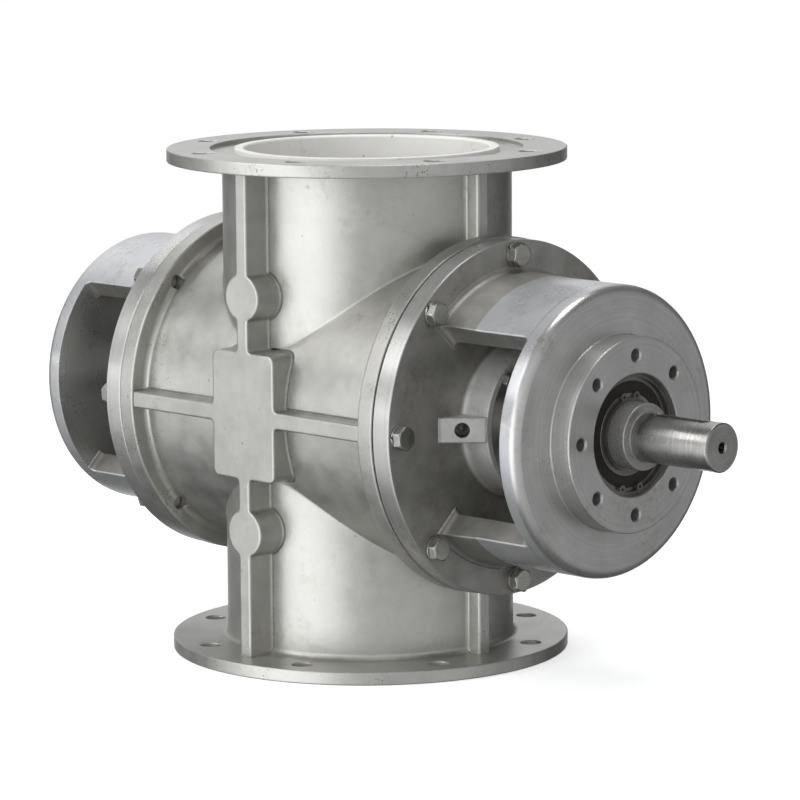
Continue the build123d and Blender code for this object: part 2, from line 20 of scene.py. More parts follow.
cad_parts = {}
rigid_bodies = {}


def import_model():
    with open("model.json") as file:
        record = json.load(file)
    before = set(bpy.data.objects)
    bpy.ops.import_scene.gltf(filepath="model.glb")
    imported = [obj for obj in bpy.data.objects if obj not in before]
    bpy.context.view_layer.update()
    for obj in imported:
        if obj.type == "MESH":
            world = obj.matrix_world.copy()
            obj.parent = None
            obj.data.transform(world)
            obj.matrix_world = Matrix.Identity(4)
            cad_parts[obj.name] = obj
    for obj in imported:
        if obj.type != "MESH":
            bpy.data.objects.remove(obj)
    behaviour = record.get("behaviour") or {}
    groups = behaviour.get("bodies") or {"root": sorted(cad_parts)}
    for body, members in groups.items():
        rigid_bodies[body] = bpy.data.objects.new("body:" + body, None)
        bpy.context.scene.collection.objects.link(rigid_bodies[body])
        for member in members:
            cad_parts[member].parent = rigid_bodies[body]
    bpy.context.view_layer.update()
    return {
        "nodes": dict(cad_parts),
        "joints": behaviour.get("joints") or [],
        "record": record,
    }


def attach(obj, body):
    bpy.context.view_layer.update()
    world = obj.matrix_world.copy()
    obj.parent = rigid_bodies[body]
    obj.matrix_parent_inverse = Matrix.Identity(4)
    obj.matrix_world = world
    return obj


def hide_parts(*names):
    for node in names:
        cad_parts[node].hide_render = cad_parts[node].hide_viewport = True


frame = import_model()
MM = 0.001
axis_height = frame["joints"][0]["pos_m"][2] / MM

# %% [markdown]
# How the shapes are made
#
# Nearly every surface of the valve is one of two kinds. Turned or cast round parts are a profile carried
# once around an axis. Everything else, such as a rib, a bridge of the lantern or a bolt head, is a grid
# of points given by two numbers, one along the piece and one across it. Both are worked out as whole
# arrays of millimetres, and one helper turns the arrays into a mesh in metres.
#
# A rounded profile matters more than many faces: light runs along the small arc at an edge, and that
# bright line is what makes metal look like metal.


# %% Points, angles and arcs
def xyz(x, y, z):
    """Points from three arrays or numbers, stretched to one shape."""
    return np.stack(np.broadcast_arrays(x, y, z), axis=-1)


def all_round(count):
    """Equal angles of one full turn, without its end."""
    return np.arange(count) * 2 * math.pi / count


def about_rotor(a, r, turn):
    """Place a along the rotor axis, radius r, turned from +Y towards +Z."""
    return xyz(a, r * np.cos(turn), axis_height + r * np.sin(turn))


def about_neck(a, r, turn):
    """Height a, radius r about the upright centre line, turned from +X towards +Y."""
    return xyz(r * np.cos(turn), r * np.sin(turn), a)


def arc(start, end, turn, share):
    """Points of an arc from its centre: the directions of its start and end, mixed by sines."""
    return (np.sin((1 - share) * turn) * start + np.sin(share * turn) * end) / np.sin(turn)


# %% Profiles with rounded corners
def rounded(corners, closed=False, steps=5):
    """Points along corners (a, r, rounding), with an arc at each rounded corner.

    The arc touches both sides at rounding / tan(half the corner's angle) from the corner.
    """
    points = []
    last = len(corners) - 1
    for number, (a, r, rounding) in enumerate(corners):
        here = np.array((a, r), float)
        if rounding == 0 or (not closed and number in (0, last)):
            points.append(here)
            continue
        back = np.array(corners[number - 1][:2], float) - here
        ahead = np.array(corners[(number + 1) % len(corners)][:2], float) - here
        back /= np.linalg.norm(back)
        ahead /= np.linalg.norm(ahead)
        half = math.acos(np.clip(back @ ahead, -1, 1)) / 2
        middle = (back + ahead) / np.linalg.norm(back + ahead)
        centre = here + middle * rounding / math.sin(half)
        start = here + back * rounding / math.tan(half) - centre
        end = here + ahead * rounding / math.tan(half) - centre
        points.extend(centre + arc(start, end, math.pi - 2 * half, np.linspace(0, 1, steps + 1)[:, None]))
    return np.array(points)


# %% Grids of points
def grid(points, close_rows=False, close_columns=False):
    """The points of a grid as a list, with the quads between neighbours."""
    rows, columns = points.shape[:2]
    row = np.arange(rows if close_rows else rows - 1)[:, None]
    column = np.arange(columns if close_columns else columns - 1)[None, :]
    next_row, next_column = (row + 1) % rows, (column + 1) % columns
    corners = ((row, column), (row, next_column), (next_row, next_column), (next_row, column))
    faces = np.stack([r * columns + c for r, c in corners], axis=-1).reshape(-1, 4)
    return points.reshape(-1, 3), faces


def lathe(profile, place, turns, closed=False):
    """A profile of (a, r) carried once around: point = place(a, r, angle)."""
    points = place(profile[:, :1], profile[:, 1:], all_round(turns))
    return grid(points, close_rows=closed, close_columns=True)


def bar(start, end, radius, place, turns):
    """A closed round bar between two places on its axis, for cutting."""
    return lathe(np.array([(start, 0), (start, radius), (end, radius), (end, 0)]), place, turns)


def mirrored(patch, axis=0, middle=0.0):
    """The same surface on the other side of a plane: each point's distance to it changes sign."""
    points, faces = patch
    points = points.copy()
    points[:, axis] = 2 * middle - points[:, axis]
    return points, faces[:, ::-1]


# %% From arrays to meshes
def make_mesh(name, patches, flat_faces=()):
    """A mesh in metres from grids and outlines, with welded seams and poles and its faces turned outwards."""
    polygons, used = [], 0
    for points, faces in patches:
        polygons += (faces + used).tolist()
        used += len(points)
    for outline in flat_faces:
        polygons.append(list(range(used, used + len(outline))))
        used += len(outline)
    points = np.concatenate([patch[0] for patch in patches] + list(flat_faces))
    mesh = bpy.data.meshes.new(name)
    mesh.from_pydata((points * MM).tolist(), [], polygons)
    work = bmesh.new()
    work.from_mesh(mesh)
    bmesh.ops.remove_doubles(work, verts=work.verts, dist=2e-6)
    bmesh.ops.recalc_face_normals(work, faces=work.faces)
    work.to_mesh(mesh)
    work.free()
    return mesh


def in_scene(name, data):
    """A new object in the scene."""
    made = bpy.data.objects.new(name, data)
    bpy.context.scene.collection.objects.link(made)
    return made


def cut(mesh, cutter_patches):
    """The mesh with closed cutters taken out of it."""
    body = in_scene("cut_body", mesh)
    cutter = in_scene("cut_cutter", make_mesh("cut_cutter", cutter_patches))
    boolean = body.modifiers.new("cut", "BOOLEAN")
    boolean.operation = "DIFFERENCE"
    boolean.solver = "EXACT"
    boolean.object = cutter
    result = bpy.data.meshes.new_from_object(body.evaluated_get(bpy.context.evaluated_depsgraph_get()))
    for thing in (body, cutter):
        bpy.data.objects.remove(thing)
    return result


def merged(name, meshes):
    """Several meshes as one."""
    work = bmesh.new()
    for mesh in meshes:
        work.from_mesh(mesh)
    out = bpy.data.meshes.new(name)
    work.to_mesh(out)
    work.free()
    return out


# %% [markdown]
# Drilled plates
#
# Both pipe flanges have eight bolt holes, and the bearing hub has eight tapped ones. A hole could be cut
# with a Boolean, but that leaves long thin faces around it. Here the ring is divided into equal
# sectors with a hole in the middle of each, and every sector is a grid that runs from its outline inwards
# to the hole's edge, over a small chamfer and down the wall. The sectors meet point to point.


# %% Sectors with a hole
def drilled_ring(count, first, hole_circle, rows, place):
    """All the sectors of a drilled ring, as a list of patches.

    A sector's outline is a rectangle in (angle, radius). Each row is (reach, height). Its reach is a pair
    (inner, outer) for an outline, or one radius about the hole. Between two rows the grid is straight.
    """
    samples = 32
    side, ones = np.linspace(-1, 1, samples + 1)[:-1], np.ones(samples)
    across = np.concatenate([side, ones, -side, -ones])
    along = np.concatenate([-ones, side, ones, -side])
    half_turn = math.pi / count
    inner, outer = rows[0][0]
    off_centre = (inner + outer) / 2 - hole_circle
    bearing = np.arctan2(along * (outer - inner) / 2 + off_centre, across * half_turn * hole_circle)
    sectors = []
    for middle in first + 2 * half_turn * np.arange(count):
        loops = []
        for reach, height in rows:
            if isinstance(reach, tuple):
                radius = (reach[0] + reach[1]) / 2 + along * (reach[1] - reach[0]) / 2
                angle = middle + across * half_turn
            else:
                radial, tangent = hole_circle + reach * np.sin(bearing), reach * np.cos(bearing)
                radius, angle = np.hypot(radial, tangent), middle + np.arctan2(tangent, radial)
            loops.append(place(height, radius, angle))
        sectors.append(grid(np.array(loops), close_columns=True))
    return sectors


def bolt_circle(count, radius, first=0.0):
    """The place (y, z) of each of several equal bolts on a circle about the rotor axis."""
    angle = first + all_round(count)
    return list(zip(radius * np.cos(angle), radius * np.sin(angle)))


# %% [markdown]
# The casting
#
# The body is one stainless casting: a level barrel, an upright neck through it with a pipe flange at each
# end, and a flange around each end of the barrel. The barrel and the neck are turned profiles. Where they
# cross, each is cut away inside the other's bore, so the passage stays open, and a slim rounded strip
# fills the corner between them as the foundry's fillet does.

# %% Sizes of the casting in millimetres
total_height = 2 * axis_height
flange_radius, flange_thick = 170.0, 11.0
flange_bolts, flange_bolt_circle = 8, 147.5
inlet_hole, outlet_hole, hole_collar = 9.25, 8.75, 5.0
recess_radius, recess_depth = 133.0, 4.0
neck_radius, neck_seat, neck_fillet = 123.0, 112.5, 5.0
barrel_radius, barrel_seat, barrel_fillet = 134.0, 122.0, 5.0
body_flange_radius, body_flange_back, body_half = 149.0, 137.0, 153.0
cover_bolts, cover_bolt_circle, cover_bolt_hole = 8, 136.0, 6.1
edge = 1.0
nut_room, overshoot = 6.0, 10.0
fine_turns, bore_turns = 256, 96
print("casting", total_height, "high and", 2 * body_half, "long")


# %% Barrel with its end flanges
def barrel_mesh():
    """The barrel's closed profile about the rotor axis, less the neck's bore and the bolt holes."""
    half = rounded([
        (0, barrel_radius, 0), (body_flange_back, barrel_radius, barrel_fillet),
        (body_flange_back, body_flange_radius, 1.5 * edge), (body_half, body_flange_radius, edge),
        (body_half, barrel_seat, 0.5 * edge), (0, barrel_seat, 0),
    ])
    profile = np.concatenate([half[:-1], half[:0:-1] * (-1, 1)])
    cutters = [bar(-overshoot, total_height + overshoot, neck_seat, about_neck, bore_turns)]
    hole, faces = bar(body_flange_back - nut_room, body_half + 3, cover_bolt_hole, about_rotor, 24)
    for y, z in bolt_circle(cover_bolts, cover_bolt_circle):
        moved = (hole + (0, y, z), faces)
        cutters += [moved, mirrored(moved)]
    return cut(make_mesh("barrel", [lathe(profile, about_rotor, 160, closed=True)]), cutters)


# %% Necks with the drilled pipe flanges
def half_neck(hole):
    """The upper half of the neck with its flange and recess, drilled with holes of one radius."""
    under, top, ledge = total_height - flange_thick, total_height, total_height - recess_depth
    lip, foot, outside = 0.6, neck_radius + neck_fillet, flange_radius - edge
    wall = rounded([(axis_height, neck_radius, 0), (under, neck_radius, neck_fillet), (under, foot, 0)])
    rim = rounded([
        (under, outside, 0), (under, flange_radius, edge), (top, flange_radius, edge), (top, outside, 0),
    ])
    recess = rounded([
        (top, recess_radius + lip, 0), (top, recess_radius, lip), (ledge, recess_radius, 2 * lip),
        (ledge, neck_seat, 0), (axis_height, neck_seat, 0),
    ])
    rows = [
        ((recess_radius + lip, outside), top), (hole + hole_collar, top), (hole + lip, top),
        (hole, top - lip), (hole, under + lip),
        (hole + lip, under), (hole + hole_collar, under), ((foot, outside), under),
    ]
    plate = drilled_ring(flange_bolts, math.pi / flange_bolts, flange_bolt_circle, rows, about_neck)
    return [lathe(part, about_neck, fine_turns) for part in (wall, rim, recess)] + plate


def neck_mesh():
    """The upper half with the inlet's holes, a mirrored half with the outlet's, less the barrel's bore."""
    patches = half_neck(inlet_hole) + [mirrored(patch, 2, axis_height) for patch in half_neck(outlet_hole)]
    reach = neck_radius + 17
    return cut(make_mesh("necks", patches), [bar(-reach, reach, barrel_seat, about_rotor, bore_turns)])


# %% The rounded strip in the corner between barrel and neck
def corner_strip():
    """A ball rolls along both walls, and the arc between its two touching points is swept.

    Ball centre: (R cos t, R sin t, sqrt(B2 - R2 sin2 t)) with R and B the two radii plus the ball's.
    """
    rounding, angle = 3.0, all_round(192)
    about, beside = neck_radius + rounding, barrel_radius + rounding
    x, y = about * np.cos(angle), about * np.sin(angle)
    z = np.sqrt(beside**2 - y**2)
    to_neck = xyz(-np.cos(angle), -np.sin(angle), 0)
    to_barrel = xyz(0, -y / beside, -z / beside)
    turn = np.arccos(np.sum(to_neck * to_barrel, axis=-1, keepdims=True))
    swept = xyz(x, y, z) + rounding * arc(to_neck, to_barrel, turn, np.linspace(0, 1, 6)[:, None, None])
    strip = grid(swept + (0, 0, axis_height), close_columns=True)
    return [strip, mirrored(strip, 2, axis_height)]


# %% [markdown]
# Ribs, boss discs and pad
#
# The front and the back carry a flat relief: an upright rib, a level rib, two boss discs and, on the front,
# a plain pad. Its outline is drawn once for a quarter and turned over twice. The wall then goes back
# from the rounded edge to whichever lies further out there, the barrel or the neck, and flares at its
# foot, as a cast fillet does.

# %% Relief outline
rib_face, rib_half, level_half = 147.5, 6.5, 7.0
disc_radius, disc_offset = 20.0, 99.0
pad_half, pad_corner = (37.0, 53.5), 6.0
print("pad", 2 * pad_half[0], "by", 2 * pad_half[1])


def distances(points):
    """How far along a line each of its points lies."""
    return np.concatenate([[0], np.cumsum(np.hypot(*np.diff(points, axis=0).T))])


def points_at(marks, points):
    """The points of a line at given distances along it."""
    length = distances(points)
    return np.stack([np.interp(marks, length, points[:, side]) for side in (0, 1)], axis=-1)


def relief_outline(with_pad):
    """A quarter in (x, z about the axis) from the level rib's end up to the flange, and its mirror images.

    A weighted mean of neighbouring points, taken all the way round, rounds the inner corners as sand does.
    """
    top = axis_height - flange_thick + 4
    end = body_flange_back + 4
    meet = math.asin(rib_half / disc_radius)
    disc = [
        (disc_radius * math.cos(a), disc_offset + disc_radius * math.sin(a), 0)
        for a in np.linspace(meet - math.pi / 2, math.pi / 2 - meet, 25)
    ]
    inner = [(rib_half, level_half, 4)]
    if with_pad:
        inner = [(pad_half[0], level_half, 3), (*pad_half, pad_corner), (rib_half, pad_half[1], 3)]
    quarter = rounded([(end, 0, 0), (end, level_half, 0), *inner, *disc, (rib_half, top, 0), (0, top, 0)])
    spacing, length = 0.8, distances(quarter)[-1]
    quarter = points_at(np.linspace(0, length, int(length / spacing)), quarter)
    upper = np.concatenate([quarter, quarter[-2:0:-1] * (-1, 1)])
    outline = np.concatenate([upper, quarter[:1] * (-1, 1), upper[::-1][:-1] * (1, -1)])
    weights = np.hanning(11)[1:-1]
    shifted = [np.roll(outline, shift, axis=0) * weight for shift, weight in zip(range(-4, 5), weights)]
    return np.sum(shifted, axis=0) / weights.sum()


# %% Relief face and wall
def relief(with_pad):
    """Rows from a spine on the flat face to the outline, over its rounded edge, down the wall and its foot.

    The spine lies on the middle lines of the two ribs: each outline point has the point of the spine that
    its share of the rib's length gives, so the rows between them never cross.
    """
    rounding, flare = 1.6, 2.2
    outline = relief_outline(with_pad)
    ahead = np.roll(outline, -1, axis=0) - np.roll(outline, 1, axis=0)
    outward = ahead[:, ::-1] * (1, -1) / np.linalg.norm(ahead, axis=1)[:, None]

    def near_face(offset, depth):
        """A row beside the outline, at a depth behind the flat face."""
        x, z = (outline + outward * offset).T
        return xyz(x, depth - rib_face, z + axis_height)

    def near_body(offset, height):
        """A row beside the outline, at a height over the barrel or the neck."""
        x, z = (outline + outward * offset).T
        barrel = np.sqrt(np.clip(barrel_radius**2 - z**2, 0, None))
        neck = np.sqrt(np.clip(neck_radius**2 - x**2, 0, None))
        return xyz(x, -np.minimum(np.maximum(barrel, neck) + height, rib_face - rounding), z + axis_height)

    knee = pad_half[0] if with_pad else rib_half + 4
    size = np.abs(outline)
    ends = size.max(axis=0)
    level_share = (size[:, 0] - knee).clip(0) / (ends[0] - knee)
    upright_share = (size[:, 1] - level_half).clip(0) / (ends[1] - level_half)
    on_upright = size[:, 1] > level_half + 1e-6
    spine_x = np.where(on_upright, 0, np.sign(outline[:, 0]) * level_share * ends[0])
    spine_z = np.where(on_upright, np.sign(outline[:, 1]) * upright_share * ends[1], 0)

    turn = np.linspace(0, math.pi / 2, 5)
    rows = [xyz(spine_x, -rib_face, spine_z + axis_height), near_face(-1.4 * rounding, 0)]
    rows += [near_face(rounding * (math.sin(a) - 1), rounding * (1 - math.cos(a))) for a in turn]
    rows.append(near_body(0, flare + 1))
    rows += [near_body(flare * (1 - math.cos(a)), flare * (1 - math.sin(a))) for a in turn]
    rows.append(near_body(flare, -2))
    return grid(np.array(rows), close_columns=True)


# %% Ribs at the two ends, and the whole casting
def end_rib():
    """A bar on the neck at +X above the barrel: a rounded section with flared feet, carried straight up."""
    face, root, flare = body_flange_back - 0.1, neck_radius - 1.5, 2.4
    side = [
        (root - 2, rib_half + flare, 0), (root + 0.6, rib_half + flare, 0),
        (root + flare, rib_half, 0.9 * flare), (face, rib_half, 2),
    ]
    outline = rounded([(x, -y, rounding) for x, y, rounding in side] + side[::-1])
    height = np.linspace(axis_height + barrel_radius - 4, total_height - flange_thick + 0.6, 30)
    return grid(xyz(outline[:, 0], outline[:, 1], height[:, None]))


ribs = [relief(True), mirrored(relief(False), 1)]
for rib in (end_rib(), mirrored(end_rib())):
    ribs += [rib, mirrored(rib, 2, axis_height)]
casting_parts = [barrel_mesh(), neck_mesh(), make_mesh("relief", ribs), make_mesh("strips", corner_strip())]
casting_mesh = merged("housing_casting_dressed", casting_parts)
print("casting", len(casting_mesh.polygons), "faces")

# %% [markdown]
# End covers
#
# Each cover is a casting too, but most of it is turned: a round disc on the body flange, a boss for the
# shaft seal, two bridges that carry the bearing hub, and the hub ring with its eight tapped holes.
# Between the bridges are the windows. A window's corner is a quarter circle, so a bridge is wider
# by rc - sqrt(rc2 - (rc - d)2) at the distance d from the window's end.

# %% Sizes of an end cover
cover_seat, cover_face, cover_radius = 154.0, 172.0, 148.0
lantern_radius, lantern_root, lantern_inner = 120.0, 122.0, 100.0
turned_from, window_end, window_corner, lantern_end = 209.0, 268.0, 6.0, 286.0
hub_radius, hub_face = 80.0, 306.0
hub_bolts, hub_bolt_circle, hub_hole, hub_hole_mouth = 8, 65.0, 5.1, 1.1
bearing_radius, bearing_back, shoulder_radius = 50.0, 277.0, 42.0
boss_radius, boss_face = 63.0, 200.0
plate_radius, plate_seat, seal_bore = 58.15, 194.0, 41.0
port_along, port_out, port_bore = cover_face + 14, boss_radius + 14, 5.9
print("cover from", cover_seat, "to", hub_face, "along the axis")


# %% Disc, boss, end plate and hub
def cover_rounds():
    """The turned parts of a cover as two closed profiles and the drilled hub face."""
    lip = 0.8
    inside, outside = bearing_radius + lip, hub_radius - 1
    disc = rounded([
        (cover_seat, seal_bore, 0), (cover_seat, cover_radius, 0.8), (cover_face, cover_radius, 1.0),
        (cover_face, boss_radius, 6), (boss_face, boss_radius, 1.0), (boss_face, plate_radius, 0.3),
        (plate_seat, plate_radius, 0), (plate_seat, seal_bore, 0),
    ])
    nose = rounded([
        (window_end, shoulder_radius, 0.5), (window_end, lantern_radius, 0.3),
        (lantern_end, lantern_radius, 8), (lantern_end, hub_radius, 1),
        (hub_face, hub_radius, 1), (hub_face, outside, 0),
    ])
    bore = rounded([
        (hub_face, inside, 0), (hub_face - lip, bearing_radius, 0.2), (bearing_back, bearing_radius, 0.3),
        (bearing_back, shoulder_radius, 0.5), (window_end, shoulder_radius, 0),
    ])
    rows = [
        ((inside, outside), hub_face), (hub_hole + 3, hub_face), (hub_hole + hub_hole_mouth, hub_face),
        (hub_hole, hub_face - hub_hole_mouth), (hub_hole, hub_face - 24), (0, hub_face - 27),
    ]
    rounds = [lathe(part, about_rotor, fine_turns) for part in (disc, nose, bore)]
    return rounds + drilled_ring(hub_bolts, 0.0, hub_bolt_circle, rows, about_rotor)


# %% The two bridges of a lantern
def bridge(middle):
    """A ring sector with rounded edges: angle and radius go round its section, x goes along it."""
    wide, foot = math.pi / 4 * lantern_radius, 4.0
    bow = np.linspace(-1, 1, 33)[1:-1] * wide
    outer = [(a, lantern_radius, 0) for a in bow]
    inner = [(a, lantern_inner, 0) for a in bow[::-1]]
    left = [(-wide, lantern_inner, 1), (-wide, lantern_radius, 1)]
    right = [(wide, lantern_radius, 1), (wide, lantern_inner, 1)]
    section = rounded([*left, *outer, *right, *inner], closed=True, steps=3)
    near = np.array([0, 0.3, 0.9, 1.8, 3.0, 4.4, 6.0])
    straight = np.linspace(cover_face + 10, window_end - 10, 24)
    x = np.concatenate([[cover_face - 1], cover_face + near, straight, window_end - near[::-1]])
    past_face = np.clip(x - cover_face, 0, None)
    short = np.clip(window_corner - np.minimum(past_face, window_end - x), 0, None)
    widening = window_corner - np.sqrt(window_corner**2 - short**2)
    flare = foot - np.sqrt(foot**2 - np.clip(foot - past_face, 0, None) ** 2)
    root = np.interp(x, (cover_face, turned_from), (lantern_root - lantern_radius, 0.25))
    root *= x < turned_from + 0.5
    angle = middle + section[:, 0] / lantern_radius * (1 + widening / wide)[:, None]
    lift = (section[:, 1] - lantern_inner) / (lantern_radius - lantern_inner)
    radius = section[:, 1] + lift * (root + flare)[:, None] - (1 - lift) * flare[:, None]
    return grid(about_rotor(x[:, None], radius, angle), close_columns=True)


# %% Purge port block, and both covers
def port_block():
    """A rectangle with rounded edges before the boss, faced at 45 degrees and drilled square to its face."""
    half_long, half_wide, rounding = 19.8, 10.5, 1.5
    corner = math.atan2(half_wide, half_long)
    short, long = np.linspace(-corner, corner, 13), np.linspace(corner, math.pi - corner, 21)[1:]
    bearing = np.concatenate([short, long, short[1:] + math.pi, long[:-1] + math.pi])
    cosine, sine = np.cos(bearing), np.sin(bearing)
    reach = np.minimum(half_long / np.abs(cosine).clip(1e-6), half_wide / np.abs(sine).clip(1e-6))

    def outline(inset, height):
        return reach * cosine * (1 - inset / half_long), reach * sine * (1 - inset / half_wide), height

    rows = [outline(0, -34)]
    for a in np.linspace(0, math.pi / 2, 5):
        rows.append(outline(rounding * (1 - math.cos(a)), rounding * (math.sin(a) - 1)))
    bored = [(7.6, 0), (6.7, 0), (port_bore, -0.8), (port_bore, -14), (3, -15), (3, -24), (0, -24)]
    rows += [(radius * cosine, radius * sine, height) for radius, height in bored]
    along, normal = np.array((1, 1, 0)) / math.sqrt(2), np.array((1, -1, 0)) / math.sqrt(2)
    mouth = np.array((port_along, -port_out, axis_height))
    points = [mouth + a[:, None] * along + b[:, None] * (0, 0, 1) + height * normal for a, b, height in rows]
    return grid(np.array(points), close_columns=True)


cover_patches = cover_rounds() + [bridge(math.pi / 2), bridge(-math.pi / 2), port_block()]
drive_cover_mesh = make_mesh("drive_cover", cover_patches)
tail_cover_mesh = make_mesh("tail_cover", [mirrored(patch) for patch in cover_patches])
print("cover", len(drive_cover_mesh.polygons), "faces")

# %% [markdown]
# Liners, bolts, washers and shaft
#
# The inlet shows the white lip of a ceramic liner. A hexagon head is a circle whose radius is
# across-flats / 2 / cos(angle from the middle of a flat), and its top edge is a cone, so the corners are
# cut lower than the flats. Bolts are done up by hand, so each is turned a little differently.


# %% Liner rings
def neck_liner():
    """A tube with a round lip at its free end; the other follows the barrel: z = sqrt(R2 - (r sin t)2)."""
    inner, outer, lip, start = 104.0, 112.4, 2.1, axis_height + 140
    angle = all_round(192)
    top = total_height
    profile = rounded([(start, inner, 0), (top, inner, lip), (top, outer, 0.6), (start, outer, 0)])
    saddle = [(axis_height + np.sqrt(barrel_seat**2 - (r * np.sin(angle)) ** 2), r) for r in (inner, outer)]
    rows = [about_neck(a, r, angle) for a, r in (saddle[0], *profile, saddle[1])]
    return grid(np.array(rows), close_rows=True, close_columns=True)


# %% Hexagon bolts and split washers
def hexagon_bolt(seat, head, across_flats, shank, length, y, z, turned):
    """Rows from the middle of the head, over its coned edge, down the flats and along the shank."""
    angle, sixth = all_round(48), math.pi / 3
    flat = across_flats / 2
    hexagon = flat / np.cos(np.mod(angle + sixth / 2, sixth) - sixth / 2)
    crown = flat * 0.95
    cone = (hexagon - crown) * math.tan(math.radians(30))
    top, tip = seat + head, seat + head - length
    rows = [
        (top, 0), (top, crown * 0.5), (top, crown - 0.4), (top - 0.12, crown), (top - cone, hexagon - 0.15),
        (top - cone - 0.25, hexagon), (seat + 0.3, hexagon), (seat, hexagon - 0.3), (seat, shank),
        (tip + 1, shank), (tip, shank - 1), (tip, 0),
    ]
    around = angle + turned
    points = [xyz(x, y + r * np.cos(around), axis_height + z + r * np.sin(around)) for x, r in rows]
    return grid(np.array(points), close_columns=True)


washer_thick = 2.5


def split_washer(seat, y, z, turned):
    """A flat ring with a slanting split, its ends standing a little apart along the axis."""
    inner, outer, gap, slant = 6.6, 10.3, 2.0, 0.08
    corners = [(0, inner, 0.3), (0, outer, 0.3), (washer_thick, outer, 0.3), (washer_thick, inner, 0.3)]
    across, radius = rounded(corners, closed=True, steps=2).T
    start = gap / outer / 2
    around = np.linspace(start, 2 * math.pi - start, 48)[:, None]
    angle = around + (across - washer_thick / 2) * slant + turned
    points = xyz(seat + across, y + radius * np.cos(angle), axis_height + z + radius * np.sin(angle))
    return grid(points, close_columns=True), [points[0], points[-1]]


# %% Sets of bolts
# Each bolt is (height of its head, width across flats, radius of its shank, length over all).
cover_bolt, seal_screw, cap_screw = (7.5, 18.0, 6.0, 39.5), (5.3, 13.0, 4.0, 18.0), (6.4, 16.0, 5.0, 22.0)
seal_circle, cap_thick, cap_radius = 52.5, 8, 78
chance = np.random.default_rng(8)


def screws(seat, sizes, places):
    """Equal hexagon bolts, each turned by chance."""
    return [hexagon_bolt(seat, *sizes, *place, chance.uniform(0, math.pi / 3)) for place in places]


bolts, washers, washer_ends = [], [], []
for place in bolt_circle(cover_bolts, cover_bolt_circle):
    bolts += screws(cover_face + washer_thick, cover_bolt, [place])
    washer, ends = split_washer(cover_face, *place, chance.uniform(0, 2 * math.pi))
    washers.append(washer)
    washer_ends += ends
seal_screws = screws(boss_face, seal_screw, bolt_circle(4, seal_circle, math.pi / 4))
cap_screws = screws(hub_face + cap_thick, cap_screw, bolt_circle(hub_bolts, hub_bolt_circle))
print(len(bolts), "bolts at each end,", len(cap_screws), "cap screws")

# %% Shaft with its keyway, and the tail cap
shaft_end, shaft_step, seal_start, rotor_half, shaft_tail = 397, 317, 276, 131, -304
end_radius, seat_radius, seal_radius, rotor_radius, centre_radius = 20, 27.5, 30, 34, 4
shaft_profile = rounded([
    (shaft_end - 16, 0, 0), (shaft_end - 14, centre_radius, 0), (shaft_end - 1, centre_radius, 0),
    (shaft_end, centre_radius + 1, 0), (shaft_end, end_radius - 1, 0), (shaft_end - 1, end_radius, 0),
    (shaft_step, end_radius, 0.8), (shaft_step, seat_radius, 1), (seal_start, seat_radius, 0),
    (seal_start, seal_radius, 0.8), (rotor_half, seal_radius, 0), (rotor_half, rotor_radius, 0),
    (-rotor_half, rotor_radius, 0), (-rotor_half, seal_radius, 0), (-seal_start, seal_radius, 0.8),
    (-seal_start, seat_radius, 0), (shaft_tail, seat_radius, 1), (shaft_tail, 0, 0),
])
shaft_marks = distances(shaft_profile)
shaft_marks = np.union1d(shaft_marks, np.arange(0, shaft_marks[-1], 2.5))
shaft_marks = shaft_marks[np.concatenate([[True], np.diff(shaft_marks) > 0.02])]
shaft_solid = make_mesh("shaft", [lathe(points_at(shaft_marks, shaft_profile), about_rotor, 128)])


def keyway_cutter():
    """A slot outline, straight with half-round ends, raised from the keyway's floor."""
    start, length, half_wide, floor, above = 323.0, 63.0, 6.0, 15.0, 30
    turn = np.linspace(-math.pi / 2, math.pi / 2, 17)
    bow, side = half_wide * np.cos(turn), half_wide * np.sin(turn)
    near = np.stack([start + length - half_wide + bow, side], axis=-1)
    far = np.stack([start + half_wide - bow, -side], axis=-1)
    outline, centre = np.concatenate([near, far]), np.array((start + length / 2, 0))
    rows = [(0, floor), (1, floor), (1, above), (0, above)]
    points = [xyz(*(centre + (outline - centre) * scale).T, axis_height + z) for scale, z in rows]
    return grid(np.array(points), close_columns=True)


shaft_mesh = cut(shaft_solid, [keyway_cutter()])
cap_top = hub_face + cap_thick
cap = rounded([(hub_face, 0, 0), (hub_face, cap_radius, 0.4), (cap_top, cap_radius, 2), (cap_top, 0, 0)])
cap_mesh = make_mesh("tail_cap", [mirrored(lathe(cap, about_rotor, 160))])
print("shaft", len(shaft_mesh.polygons), "faces")

# %% [markdown]
# Finishes
#
# Stainless steel has almost the same colour everywhere on this valve. What tells the parts apart is how
# they were worked: the body is blasted and grainy, the lantern and hub are turned and show fine rings,
# the shaft is ground. So the effects are made once as node groups, each giving plain values, and every
# material mixes them in its own way. All patterns are read from the object's own coordinates in metres.
#
# A finish is mostly sums on masks. A sheet holds one node tree and has a short word for each kind of sum.


